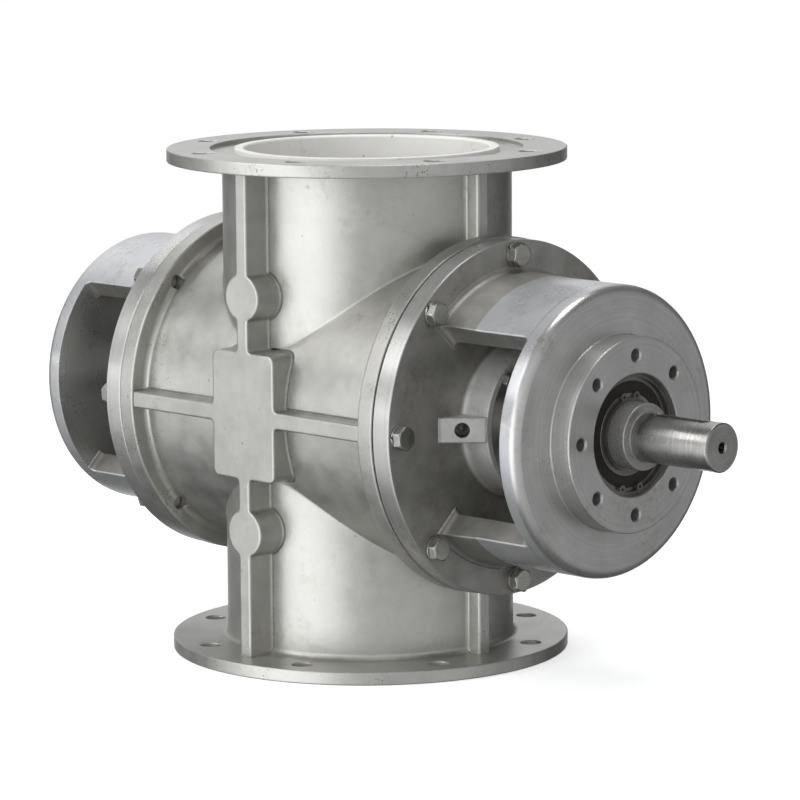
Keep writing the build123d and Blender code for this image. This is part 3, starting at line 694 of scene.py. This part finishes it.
# %% A sheet of nodes
class Sheet:
    """A node tree with short words for its sums; where is the socket that its patterns are read from."""

    def __init__(self, tree, where=None):
        self.tree, self.where = tree, where

    def join(self, node, links):
        """Sets a node's inputs to numbers, or joins them to sockets."""
        for key, value in links.items():
            if isinstance(value, bpy.types.NodeSocket):
                self.tree.links.new(value, node.inputs[key])
            else:
                node.inputs[key].default_value = value
        return node

    def add(self, kind, links=None, **settings):
        """A new node with its settings made and its inputs joined."""
        made = self.tree.nodes.new(kind)
        for name, value in settings.items():
            setattr(made, name, value)
        return self.join(made, links or {})

    def maths(self, operation, first, *others, clamp=False):
        """One kind of sum, carried on from value to value."""
        for other in others:
            made = self.add("ShaderNodeMath", {0: first, 1: other}, operation=operation, use_clamp=clamp)
            first = made.outputs[0]
        return first

    def plus(self, *values):
        return self.maths("ADD", *values)

    def minus(self, *values):
        return self.maths("SUBTRACT", *values)

    def times(self, *values):
        return self.maths("MULTIPLY", *values)

    def shares(self, *pairs):
        """Values added up, each times its share."""
        return self.plus(*[self.times(value, share) for value, share in pairs])

    def length(self, first, second):
        """The long side over two short ones at a right angle."""
        return self.maths("SQRT", self.plus(self.times(first, first), self.times(second, second)), 0.0)

    def along(self, vector, direction):
        """How far a vector goes in a direction."""
        links = {0: vector, 1: direction}
        return self.add("ShaderNodeVectorMath", links, operation="DOT_PRODUCT").outputs["Value"]

    def remap(self, value, low, high, to_low=0.0, to_high=1.0):
        """A value carried smoothly from one span to another."""
        links = {"Value": value, "From Min": low, "From Max": high, "To Min": to_low, "To Max": to_high}
        return self.add("ShaderNodeMapRange", links, interpolation_type="SMOOTHSTEP").outputs[0]

    def past(self, value, start, end):
        """A mask that grows from 0 to 1 between two places in millimetres."""
        return self.remap(value, start * MM, end * MM)

    def mixed(self, share, *colours):
        """Two colours mixed, each a socket or red, green and blue."""
        first, second = [c if isinstance(c, bpy.types.NodeSocket) else (*c, 1) for c in colours]
        return self.add("ShaderNodeMix", {0: share, 6: first, 7: second}, data_type="RGBA").outputs[2]

    def coats(self, colour, *coats):
        """Coats over a colour one after the other, each (mask, strength, colour)."""
        for mask, strength, over in coats:
            colour = self.mixed(self.times(mask, strength), colour, over)
        return colour

    def noise(self, scale, detail=4.0, rough=0.55, where=None):
        """Noise from 0 to 1."""
        links = {"Vector": where or self.where, "Scale": scale, "Detail": detail, "Roughness": rough}
        return self.add("ShaderNodeTexNoise", links).outputs[0]

    def cells(self, scale):
        """The distance to the nearest of many scattered points."""
        return self.add("ShaderNodeTexVoronoi", {"Vector": self.where, "Scale": scale}).outputs["Distance"]

    def bump(self, height, strength, distance, **links):
        """A normal that leans with a height."""
        links |= {"Height": height, "Strength": strength, "Distance": distance}
        return self.add("ShaderNodeBump", links).outputs[0]

    def effect(self, kind, **values):
        """The outputs of one of the effect groups."""
        used = self.add("ShaderNodeGroup", node_tree=bpy.data.node_groups[kind])
        return self.join(used, {"Vector": self.where, **values}).outputs

    def give(self, **values):
        """Makes a group's outputs from its values."""
        for name, value in values.items():
            kind = "NodeSocketVector" if value.type == "VECTOR" else "NodeSocketFloat"
            self.tree.interface.new_socket(name, in_out="OUTPUT", socket_type=kind)
        self.join(self.tree.nodes.new("NodeGroupOutput"), values)
        print(self.tree.name, "gives", ", ".join(values))

    def paint(self, **values):
        """Numbers or sockets into the Principled node; names use _ for a space."""
        links = {name.replace("_", " "): value for name, value in values.items()}
        return self.join(self.tree.nodes["Principled BSDF"], links)


def new_group(name, **numbers):
    """The sheet of an effect that reads a place and named numbers, and its inputs."""
    tree = bpy.data.node_groups.new(name, "ShaderNodeTree")
    tree.interface.new_socket("Vector", in_out="INPUT", socket_type="NodeSocketVector")
    for key, value in numbers.items():
        tree.interface.new_socket(key, in_out="INPUT", socket_type="NodeSocketFloat").default_value = value
    given = tree.nodes.new("NodeGroupInput").outputs
    return Sheet(tree, given["Vector"]), given


# %% [markdown]
# Grain of a blasted casting
#
# Blasted steel is speckled: cloudy patches a few centimetres wide, a fine grain, and here and there a
# pit where sand or gas was caught. Small Voronoi cells whose centre is near make the pits; noise decides
# where they show.

# %% Cast grain group
sheet = new_group("cast grain")[0]
grain = sheet.noise(900.0, 3.0, 0.7)
reach = sheet.remap(sheet.noise(60.0, 2.0), 0.56, 0.75, 0.02, 0.30)
pits = sheet.maths("SUBTRACT", 1.0, sheet.maths("DIVIDE", sheet.cells(130.0), reach, clamp=True), clamp=True)
height = sheet.shares((grain, 0.35), (sheet.noise(160.0, 3.0, 0.6), 0.65))
height = sheet.minus(height, sheet.times(pits, 0.9))
sheet.give(Cloud=sheet.noise(14.0, 5.0, 0.6), Grain=grain, Pits=pits, Height=height)

# %% [markdown]
# Rings left by turning
#
# A lathe tool leaves a fine screw line. On a face its distance from the axis tells where in the line a
# point is, on a cylinder its place along the axis does; their sum serves both. Noise along that one number
# gives rings of uneven width. The group also gives the place itself, which the masks of the covers need.

# %% Turned rings group
sheet, given = new_group("turned rings")
split = sheet.add("ShaderNodeSeparateXYZ", {0: given["Vector"]}).outputs
rise = sheet.minus(split[2], axis_height * MM)
radius = sheet.length(split[1], rise)
along = sheet.maths("ABSOLUTE", split[0], 0.0)
rings = {"W": sheet.plus(radius, along)}
fine, broad = [
    sheet.add("ShaderNodeTexNoise", rings | links, noise_dimensions="1D").outputs[0]
    for links in ({"Scale": 3200.0, "Detail": 2.0}, {"Scale": 420.0, "Detail": 3.0})
]
tone = sheet.shares((fine, 0.35), (broad, 0.25), (sheet.noise(35.0), 0.4))
sheet.give(Tone=tone, Height=fine, Radius=radius, Along=along, Across=split[1], Rise=rise)

# %% [markdown]
# Edges: rubbed wear and painted highlight
#
# Edges of real castings are rounder than flat faces, and a little brighter where they are touched and rubbed
# most. Most of the bright colour laid on them here is a painted highlight, the bright line that light draws
# along a rounded edge. The Bevel node gives the normal that a rounded edge would have, and how far it turns
# from the true normal says where an edge is. A little noise breaks the line up.

# %% Edge wear and painted highlight group
sheet, given = new_group("edge wear and highlight", Radius=0.001)
rounder = sheet.add("ShaderNodeBevel", {"Radius": given["Radius"]}, samples=4).outputs[0]
agree = sheet.along(rounder, sheet.add("ShaderNodeNewGeometry").outputs["Normal"])
ragged = sheet.remap(sheet.noise(420.0, 4.0, 0.7), 0.3, 0.65, 0.25, 1.0)
# The mask says where the colour is brightened: a painted highlight along edges, with a little rubbed wear.
sheet.give(Edge=sheet.times(sheet.remap(agree, 0.995, 0.90), ragged), Normal=rounder)

# %% [markdown]
# Stains
#
# Water that stood round bolts and in corners leaves brown marks with soft borders. Two noises multiplied
# give blotches inside patches.

# %% Stain group
sheet, given = new_group("stain", Amount=0.5)
patch_mask = sheet.remap(sheet.noise(22.0, 3.0), 0.52, 0.68)
blot = sheet.remap(sheet.noise(170.0, 5.0, 0.65), 0.45, 0.7)
sheet.give(Mask=sheet.maths("MULTIPLY", patch_mask, blot, given["Amount"], clamp=True))

# %% [markdown]
# The body's finish
#
# The casting is blasted all over and then handled, so its grey drifts in clouds, its pits hold dirt, and
# the rims of the pipe flanges carry small knocks. It is nearly a metal to the shader, but not quite: the
# blasted skin spreads some light like stone, which keeps its shaded sides from going black.


# %% Cast stainless body
def new_material(name):
    """A material and its sheet, reading from the object's own coordinates."""
    material = bpy.data.materials.new(name)
    material.use_nodes = True
    sheet = Sheet(material.node_tree)
    sheet.where = sheet.add("ShaderNodeTexCoord").outputs["Object"]
    return material, sheet


def cast_body():
    """Grainy grey steel, darker in its pits, with a painted highlight and a little wear on its edges."""
    material, sheet = new_material("cast_body")
    cast = sheet.effect("cast grain")
    edges = sheet.effect("edge wear and highlight", Radius=0.0016)
    stain = sheet.effect("stain", Amount=0.55)
    smudge = sheet.noise(48.0, 5.0, 0.62)
    tone = sheet.shares((cast["Cloud"], 0.45), (cast["Grain"], 0.12), (smudge, 0.43))
    colour = sheet.mixed(sheet.remap(tone, 0.36, 0.64), (0.455, 0.45, 0.425), (0.565, 0.56, 0.53))
    place = sheet.add("ShaderNodeSeparateXYZ", {0: sheet.where}).outputs
    rim = sheet.past(sheet.length(place[0], place[1]), flange_radius - 2, flange_radius - 0.5)
    struck = sheet.times(rim, sheet.remap(sheet.noise(30.0, 4.0, 0.7), 0.50, 0.62))
    knocked = sheet.times(sheet.remap(sheet.cells(380.0), 0.34, 0.20), struck)
    colour = sheet.coats(
        colour,
        (knocked, 0.75, (0.17, 0.155, 0.14)),
        (stain["Mask"], 0.5, (0.25, 0.19, 0.13)),
        (cast["Pits"], 0.7, (0.16, 0.145, 0.13)),
        # Edges: painted highlight, with a little rubbed wear.
        (edges["Edge"], 0.75, (0.86, 0.86, 0.85)),
    )
    height = sheet.minus(cast["Height"], sheet.times(knocked, 0.8))
    normal = sheet.bump(height, 0.30, 0.0006, Normal=edges["Normal"])
    rough = sheet.remap(smudge, 0.3, 0.7, 0.335, 0.445)
    sheet.paint(Base_Color=colour, Metallic=0.82, Roughness=rough, Normal=normal)
    return material


# %% [markdown]
# The covers' finish
#
# One casting, several skins, and each has its place in millimetres along the axis and from it: dull cast
# steel inside the lantern and near the body, turned steel with rings on the nose, the hub and the rim of
# the disc, satin on the lantern's drum, painted paler and bluish as a painted reflection of the sky, and a
# blasted matt boss whose port bore is painted near black, painted shade with a little sealant.


# %% Turned and cast steel of the covers
def cover_steel():
    """Dull where cast, ringed where turned, a painted reflection on the drum's satin, matt on boss and port.
    """
    material, sheet = new_material("cover_steel")
    cast = sheet.effect("cast grain")
    rings = sheet.effect("turned rings")
    edges = sheet.effect("edge wear and highlight", Radius=0.0013)
    stain = sheet.effect("stain", Amount=0.8)
    radius, along = rings["Radius"], rings["Along"]
    beyond = sheet.past(along, turned_from - 1.5, turned_from + 0.5)
    outer_skin = sheet.past(radius, lantern_radius - 1, lantern_radius - 0.4)
    outside = sheet.maths("MAXIMUM", outer_skin, sheet.past(along, window_end - 0.8, window_end - 0.1))
    rim = sheet.past(radius, cover_radius - 1.2, cover_radius - 0.5)
    turned = sheet.maths("MAXIMUM", sheet.times(beyond, outside), rim)
    boss = sheet.times(
        sheet.past(radius, 98, 95),
        sheet.past(along, cover_face + 0.5, cover_face + 2.5),
        sheet.past(along, boss_face + 7, boss_face + 4),
    )
    # The drum's paler, bluish colour is a painted reflection of the sky; its satin finish is real.
    drum_painted_reflection = sheet.times(
        sheet.past(radius, lantern_radius - 1.5, lantern_radius - 0.5),
        beyond,
        sheet.past(along, lantern_end - 6, lantern_end - 8.5),
    )
    sideways = sheet.plus(sheet.minus(along, port_along * MM), sheet.plus(rings["Across"], port_out * MM))
    to_port = sheet.length(sheet.times(sideways, math.sqrt(0.5)), rings["Rise"])
    # The port's bore is painted near black: painted shade in the hole, with a little sealant.
    port_shade_and_sealant = sheet.times(boss, sheet.past(to_port, port_bore + 0.4, port_bore + 0.1))

    soot = sheet.remap(sheet.shares((cast["Cloud"], 0.5), (sheet.noise(40.0, 5.0, 0.62), 0.5)), 0.36, 0.64)
    dull = sheet.mixed(soot, (0.32, 0.315, 0.295), (0.47, 0.46, 0.435))
    bright = sheet.mixed(sheet.remap(rings["Tone"], 0.35, 0.65), (0.51, 0.507, 0.495), (0.63, 0.627, 0.61))
    colour = sheet.mixed(turned, dull, bright)
    colour = sheet.mixed(boss, colour, sheet.mixed(soot, (0.60, 0.595, 0.575), (0.82, 0.815, 0.79)))
    # Painted reflection: the drum is painted paler and bluish.
    colour = sheet.mixed(drum_painted_reflection, colour, sheet.mixed(soot, (0.54, 0.545, 0.56), (0.63, 0.635, 0.65)))
    colour = sheet.coats(
        colour,
        # Painted shade in the port's bore, with a little sealant.
        (port_shade_and_sealant, 0.85, (0.03, 0.028, 0.026)),
        (stain["Mask"], 0.45, (0.20, 0.15, 0.11)),
        (cast["Pits"], sheet.minus(0.6, sheet.times(turned, 0.45)), (0.12, 0.11, 0.10)),
        # Edges: painted highlight, with a little rubbed wear.
        (edges["Edge"], 0.7, (0.88, 0.88, 0.87)),
    )
    smear = sheet.remap(cast["Cloud"], 0.3, 0.7, 0.25, 0.38)
    rough = sheet.plus(sheet.times(turned, smear), sheet.times(sheet.minus(1.0, turned), 0.46))
    grainy = sheet.times(cast["Height"], sheet.minus(1.0, sheet.times(turned, 0.9)))
    height = sheet.plus(grainy, sheet.times(rings["Height"], sheet.times(turned, 0.06)))
    normal = sheet.bump(height, 0.25, 0.0004, Normal=edges["Normal"])
    metal = sheet.remap(turned, 0.0, 1.0, 0.62, 0.74)
    metal = sheet.minus(metal, sheet.times(boss, 0.30), sheet.times(drum_painted_reflection, 0.30))
    tangent = sheet.add("ShaderNodeTangent", direction_type="RADIAL", axis="X").outputs[0]
    sheet.paint(Base_Color=colour, Metallic=metal, Roughness=rough, Normal=normal)
    sheet.paint(Anisotropic=0.55, Anisotropic_Rotation=0.25, Tangent=tangent)
    return material


# %% [markdown]
# The other finishes
#
# The liner is ceramic, white with a few brown specks. Shaft, bolts, washers, bearing and rotor are all
# turned or ground steel, so one recipe serves them with other colours, roughness and dirt. Rubber,
# gasket, packing and the blackened circlips are dark and mottled, and share the last recipe.


# %% Ceramic, ground and bolt steel, rubber and sheet
def ceramic():
    """White and smooth, a little cream, with a few brown spots."""
    material, sheet = new_material("liner_ceramic")
    cast = sheet.effect("cast grain")
    stain = sheet.effect("stain", Amount=0.9)
    cream = sheet.remap(sheet.noise(18.0, 3.0), 0.35, 0.7)
    colour = sheet.coats(
        sheet.mixed(cream, (0.95, 0.94, 0.91), (0.91, 0.89, 0.83)),
        (stain["Mask"], 0.35, (0.45, 0.32, 0.2)),
        (cast["Pits"], 1.0, (0.35, 0.26, 0.17)),
    )
    sheet.paint(Base_Color=colour, Roughness=0.35, Normal=sheet.bump(cast["Height"], 0.06, 0.0003))
    return material


def bright_steel(name, dark, light, rough, stains=0.4, scratches=0.5, greasy=0.0):
    """Turned or ground steel with fine rings, long scratches and stains, greasy where the bearing sits."""
    material, sheet = new_material(name)
    rings = sheet.effect("turned rings")
    edges = sheet.effect("edge wear and highlight", Radius=0.0006)
    stain = sheet.effect("stain", Amount=stains)
    long = sheet.add("ShaderNodeMapping", {"Vector": sheet.where, "Scale": (0.05, 1.0, 1.0)}).outputs[0]
    colour = sheet.coats(
        sheet.mixed(sheet.remap(rings["Tone"], 0.35, 0.65), dark, light),
        (sheet.remap(sheet.noise(900.0, 3.0, 0.7, long), 0.60, 0.72), scratches, (0.25, 0.24, 0.23)),
        (stain["Mask"], 1.0, (0.16, 0.075, 0.03)),
        # Edges: painted highlight, with a little rubbed wear.
        (edges["Edge"], 0.6, (0.92, 0.92, 0.91)),
    )
    metal = 0.95
    if greasy:
        seat = sheet.past(rings["Along"], lantern_end, lantern_end + 3)
        seat = sheet.times(seat, sheet.past(rings["Along"], shaft_step + 2, shaft_step + 0.5))
        metal = sheet.minus(metal, sheet.times(seat, greasy))
    uneven = sheet.remap(sheet.noise(60.0), 0.3, 0.7, rough * 0.8, rough * 1.35)
    normal = sheet.bump(rings["Height"], 0.12, 0.0002, Normal=edges["Normal"])
    sheet.paint(Base_Color=colour, Metallic=metal, Roughness=uneven, Normal=normal)
    return material


def dark_stuff(name, dark, light, rough, metallic=0.0):
    """Rubber, sheet, packing or blackened spring steel: mottled and matt."""
    material, sheet = new_material(name)
    cast = sheet.effect("cast grain")
    colour = sheet.mixed(sheet.remap(cast["Cloud"], 0.4, 0.75), dark, light)
    normal = sheet.bump(cast["Height"], 0.15, 0.0003)
    sheet.paint(Base_Color=colour, Metallic=metallic, Roughness=rough, Normal=normal)
    return material


materials = {"cast_stainless": cast_body(), "cover_stainless": cover_steel(), "liner_ceramic": ceramic()}
for recipe, name, *look in (
    (bright_steel, "rotor_steel", (0.42, 0.42, 0.41), (0.58, 0.58, 0.57), 0.35),
    (bright_steel, "shaft_steel", (0.31, 0.305, 0.295), (0.47, 0.465, 0.45), 0.25, 0.3, 0.5, 0.6),
    (bright_steel, "turned_steel", (0.42, 0.42, 0.41), (0.58, 0.58, 0.57), 0.32),
    (bright_steel, "bolt_steel", (0.38, 0.375, 0.35), (0.52, 0.51, 0.48), 0.30, 0.5, 0.3),
    (bright_steel, "washer_steel", (0.34, 0.33, 0.31), (0.46, 0.45, 0.42), 0.34, 0.6),
    (bright_steel, "bearing_steel", (0.17, 0.16, 0.145), (0.32, 0.305, 0.275), 0.36, 0.6),
    (bright_steel, "cage_steel", (0.38, 0.38, 0.38), (0.52, 0.52, 0.52), 0.35),
    (bright_steel, "key_steel", (0.45, 0.45, 0.44), (0.6, 0.6, 0.59), 0.35),
    (dark_stuff, "spring_steel", (0.12, 0.115, 0.105), (0.25, 0.24, 0.22), 0.40, 0.6),
    (dark_stuff, "gasket_sheet", (0.012, 0.012, 0.012), (0.05, 0.045, 0.04), 0.75),
    (dark_stuff, "packing", (0.02, 0.02, 0.02), (0.07, 0.065, 0.06), 0.8),
    (dark_stuff, "shield_rubber", (0.010, 0.007, 0.005), (0.03, 0.021, 0.015), 0.60),
):
    materials[name] = recipe(name, *look)
print(len(materials), "finishes")

# %% [markdown]
# Putting it together
#
# Each dressed piece stands in for its solid and rides on the same body, so the rotor parts turn together.
# Parts that already have their right shape, such as the rotor, the bearings, the circlips and the
# gaskets, keep their solids and only get the new finishes.


# %% Dressed pieces
def dress(node, mesh, slot, body="housing", name=None):
    """Puts a mesh into the scene with its finish, riding on its body and standing for its node."""
    piece = in_scene(f"{name or node}_dressed", mesh)
    mesh.shade_smooth()
    mesh.set_sharp_from_angle(angle=math.radians(40))
    mesh.materials.append(materials[slot])
    piece.modifiers.new("even shading", "WEIGHTED_NORMAL").keep_sharp = True
    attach(piece, body)
    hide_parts(node)
    print(piece.name, len(mesh.polygons), "faces")


dress("housing_casting", casting_mesh, "cast_stainless")
dress("drive_end_cover", drive_cover_mesh, "cover_stainless", name="drive_cover")
dress("tail_end_cover", tail_cover_mesh, "cover_stainless", name="tail_cover")
dress("inlet_liner", make_mesh("inlet_liner", [neck_liner()]), "liner_ceramic")
dress("outlet_liner", make_mesh("outlet_liner", [mirrored(neck_liner(), 2, axis_height)]), "liner_ceramic")
for end, tail in (("drive", False), ("tail", True)):
    for kind, patches, ends, slot in (
        ("cover_bolts", bolts, [], "bolt_steel"),
        ("cover_washers", washers, washer_ends, "washer_steel"),
        ("seal_screws", seal_screws, [], "bolt_steel"),
    ):
        if tail:
            patches = [mirrored(patch) for patch in patches]
            ends = [outline * (-1, 1, 1) for outline in ends]
        dress(f"{end}_{kind}", make_mesh(f"{end}_{kind}", patches, ends), slot)
dress("rotor_shaft", shaft_mesh, "shaft_steel", "rotor_assembly")
dress("tail_cap", cap_mesh, "turned_steel")
tail_screws = [mirrored(patch) for patch in cap_screws]
dress("tail_cap_screws", make_mesh("tail_cap_screws", tail_screws), "bolt_steel")

# %% Solids that keep their shape
slots = {entry["node"]: entry["material_slot"] for entry in frame["record"]["subparts"]}
shown = bpy.context.scene.objects
kept = [name for name, piece in frame["nodes"].items() if piece.name in shown and not piece.hide_render]
for name in kept:
    piece = frame["nodes"][name]
    piece.data.materials.clear()
    piece.data.materials.append(materials[slots[name]])
print("kept solids:", ", ".join(sorted(kept)))

# %% [markdown]
# The room
#
# The photo is a studio picture on white. Steel shows what stands about it, so the room that lights the
# valve has lighter sides, to the left, low in front and to the right, and stays dim elsewhere, which makes
# the right-hand walls of the ribs dark. The camera sees plain white. Rays mirrored by the metal see the
# same white where the backdrop stands, behind the valve.

# %% World
world = bpy.data.worlds.new("studio")
bpy.context.scene.world = world
world.use_nodes = True
world.node_tree.nodes.clear()
sheet = Sheet(world.node_tree)
sheet.where = sheet.add("ShaderNodeTexCoord").outputs["Generated"]


def lobe(direction, start, end, strength):
    """Light that grows smoothly towards one direction: from dot product start to dot product end."""
    return sheet.remap(sheet.along(sheet.where, direction), start, end, 0.0, strength)


def mirrored_rays(sheet):
    """Whether a ray comes from the camera, and whether metal mirrored it or it went through glass."""
    path = sheet.add("ShaderNodeLightPath").outputs
    return path["Is Camera Ray"], sheet.maths("MAXIMUM", path["Is Glossy Ray"], path["Is Transmission Ray"])


glow = sheet.plus(
    0.085,
    lobe((-0.62, -0.55, 0.56), -0.15, 0.95, 0.22),  # wide, upper left in front
    lobe((-0.70, 0.49, 0.52), 0.80, 0.985, 0.80),  # narrow, upper left behind
    lobe((-0.20, -0.96, -0.14), 0.68, 0.99, 1.90),  # strong, low in front
    lobe((0.72, -0.69, 0.0), 0.20, 0.95, 0.64),  # level, right in front
    lobe((0.86, 0.50, -0.1), 0.70, 0.99, 0.36),  # level, right behind
)
plain = sheet.add("ShaderNodeBackground", {"Color": (1, 1, 1, 1), "Strength": 1.0})
room = sheet.add("ShaderNodeBackground", {"Color": (0.97, 0.985, 1.0, 1), "Strength": glow})
from_camera, was_mirrored = mirrored_rays(sheet)
backdrop = sheet.times(was_mirrored, lobe((-0.69, 0.69, -0.24), 0.90, 0.98, 1.0))
white = sheet.maths("MAXIMUM", from_camera, backdrop)
both = sheet.add("ShaderNodeMixShader", {0: white, 1: room.outputs[0], 2: plain.outputs[0]})
sheet.add("ShaderNodeOutputWorld", {0: both.outputs[0]})
print("room of", len(world.node_tree.nodes), "nodes")

# %% [markdown]
# The floor
#
# To the camera the floor is pale and lifted to white by a little light of its own, which fades under the
# valve so that the shadow at its foot stays. For light that bounces it is a plain mid grey, so it doesn't
# flood the valve's underside, and mirrored rays pass through it to the room.

# %% Floor
half_side, fade_start, fade_end = 6e4, -20, 2
corners = [[(x, y, 0) for x in (-half_side, half_side)] for y in (-half_side, half_side)]
floor = in_scene("floor", make_mesh("floor", [grid(np.array(corners, float))]))
floor.location = (0, 0, -0.0002)
floor_material, sheet = new_material("floor")
from_middle = sheet.add("ShaderNodeVectorMath", {0: sheet.where}, operation="LENGTH").outputs["Value"]
lifted = sheet.past(from_middle, flange_radius + fade_start, flange_radius + fade_end)
pale = sheet.paint(Base_Color=(0.9, 0.9, 0.9, 1), Roughness=1.0, Specular_IOR_Level=0.0)
sheet.paint(Emission_Color=(1, 1, 1, 1), Emission_Strength=sheet.times(lifted, 0.62))
grey = sheet.add("ShaderNodeBsdfDiffuse", {"Color": (0.34, 0.34, 0.33, 1)})
clear = sheet.add("ShaderNodeBsdfTransparent")
from_camera, was_mirrored = mirrored_rays(sheet)
look = sheet.add("ShaderNodeMixShader", {0: from_camera, 1: grey.outputs[0], 2: pale.outputs[0]})
look = sheet.add("ShaderNodeMixShader", {0: was_mirrored, 1: look.outputs[0], 2: clear.outputs[0]})
sheet.join(sheet.tree.nodes["Material Output"], {"Surface": look.outputs[0]})
floor.data.materials.append(floor_material)
print("floor", floor.dimensions.x, "metres wide")

# %% [markdown]
# Lamps and camera
#
# One large soft lamp stands above the front left, one above, and two narrow strips on the left draw the
# bright lines along rims and ribs. The camera stands to the right of the front at 45 degrees and a little
# above, about three and a half metres away with a long lens, so the flanges look like narrow ellipses with
# hardly any taper.


# %% Lamps
def softbox(name, direction, distance, size, power):
    """An area light, size = (wide, high), at a distance from the valve in one direction, facing it."""
    lamp = bpy.data.lights.new(name, "AREA")
    lamp.shape = "RECTANGLE"
    lamp.size, lamp.size_y = size
    lamp.energy = power
    made = in_scene(name, lamp)
    away = Vector(direction).normalized()
    made.location = Vector((0.05, 0.0, axis_height * MM)) + away * distance
    made.rotation_euler = (-away).to_track_quat("-Z", "Y").to_euler()
    print(name, power, "watts")


softbox("key", (-0.45, -0.75, 0.62), 2.2, (1.0, 1.0), 11)
softbox("upper strip", (-0.70, 0.10, 0.71), 2.0, (1.2, 0.16), 1.4)
softbox("left strip", (-0.70, -0.70, 0.06), 2.2, (1.0, 0.14), 0.9)
softbox("top", (0.1, 0.1, 1.0), 2.0, (1.0, 1.0), 13)

# %% Camera
lens = bpy.data.cameras.new("camera")
lens.sensor_width, lens.lens = 36.0, 184.685
camera = in_scene("camera", lens)
turn, lift, roll = [math.radians(angle) for angle in (45.009, 8.835, -0.414)]
target, distance = Vector((0.03767, 0.0, axis_height * MM + 0.000774)), 3.48858
towards = Vector((math.sin(turn) * math.cos(lift), -math.cos(turn) * math.cos(lift), math.sin(lift)))
right = Vector((math.cos(turn), math.sin(turn), 0))
up = towards.cross(right)
right, up = right * math.cos(roll) + up * math.sin(roll), up * math.cos(roll) - right * math.sin(roll)
place = target + distance * towards
camera.matrix_world = Matrix([[right[i], up[i], towards[i], place[i]] for i in range(3)] + [[0, 0, 0, 1]])
bpy.context.scene.camera = camera
bpy.context.scene.view_settings.view_transform = "Standard"
print("camera at", [round(v, 3) for v in place])
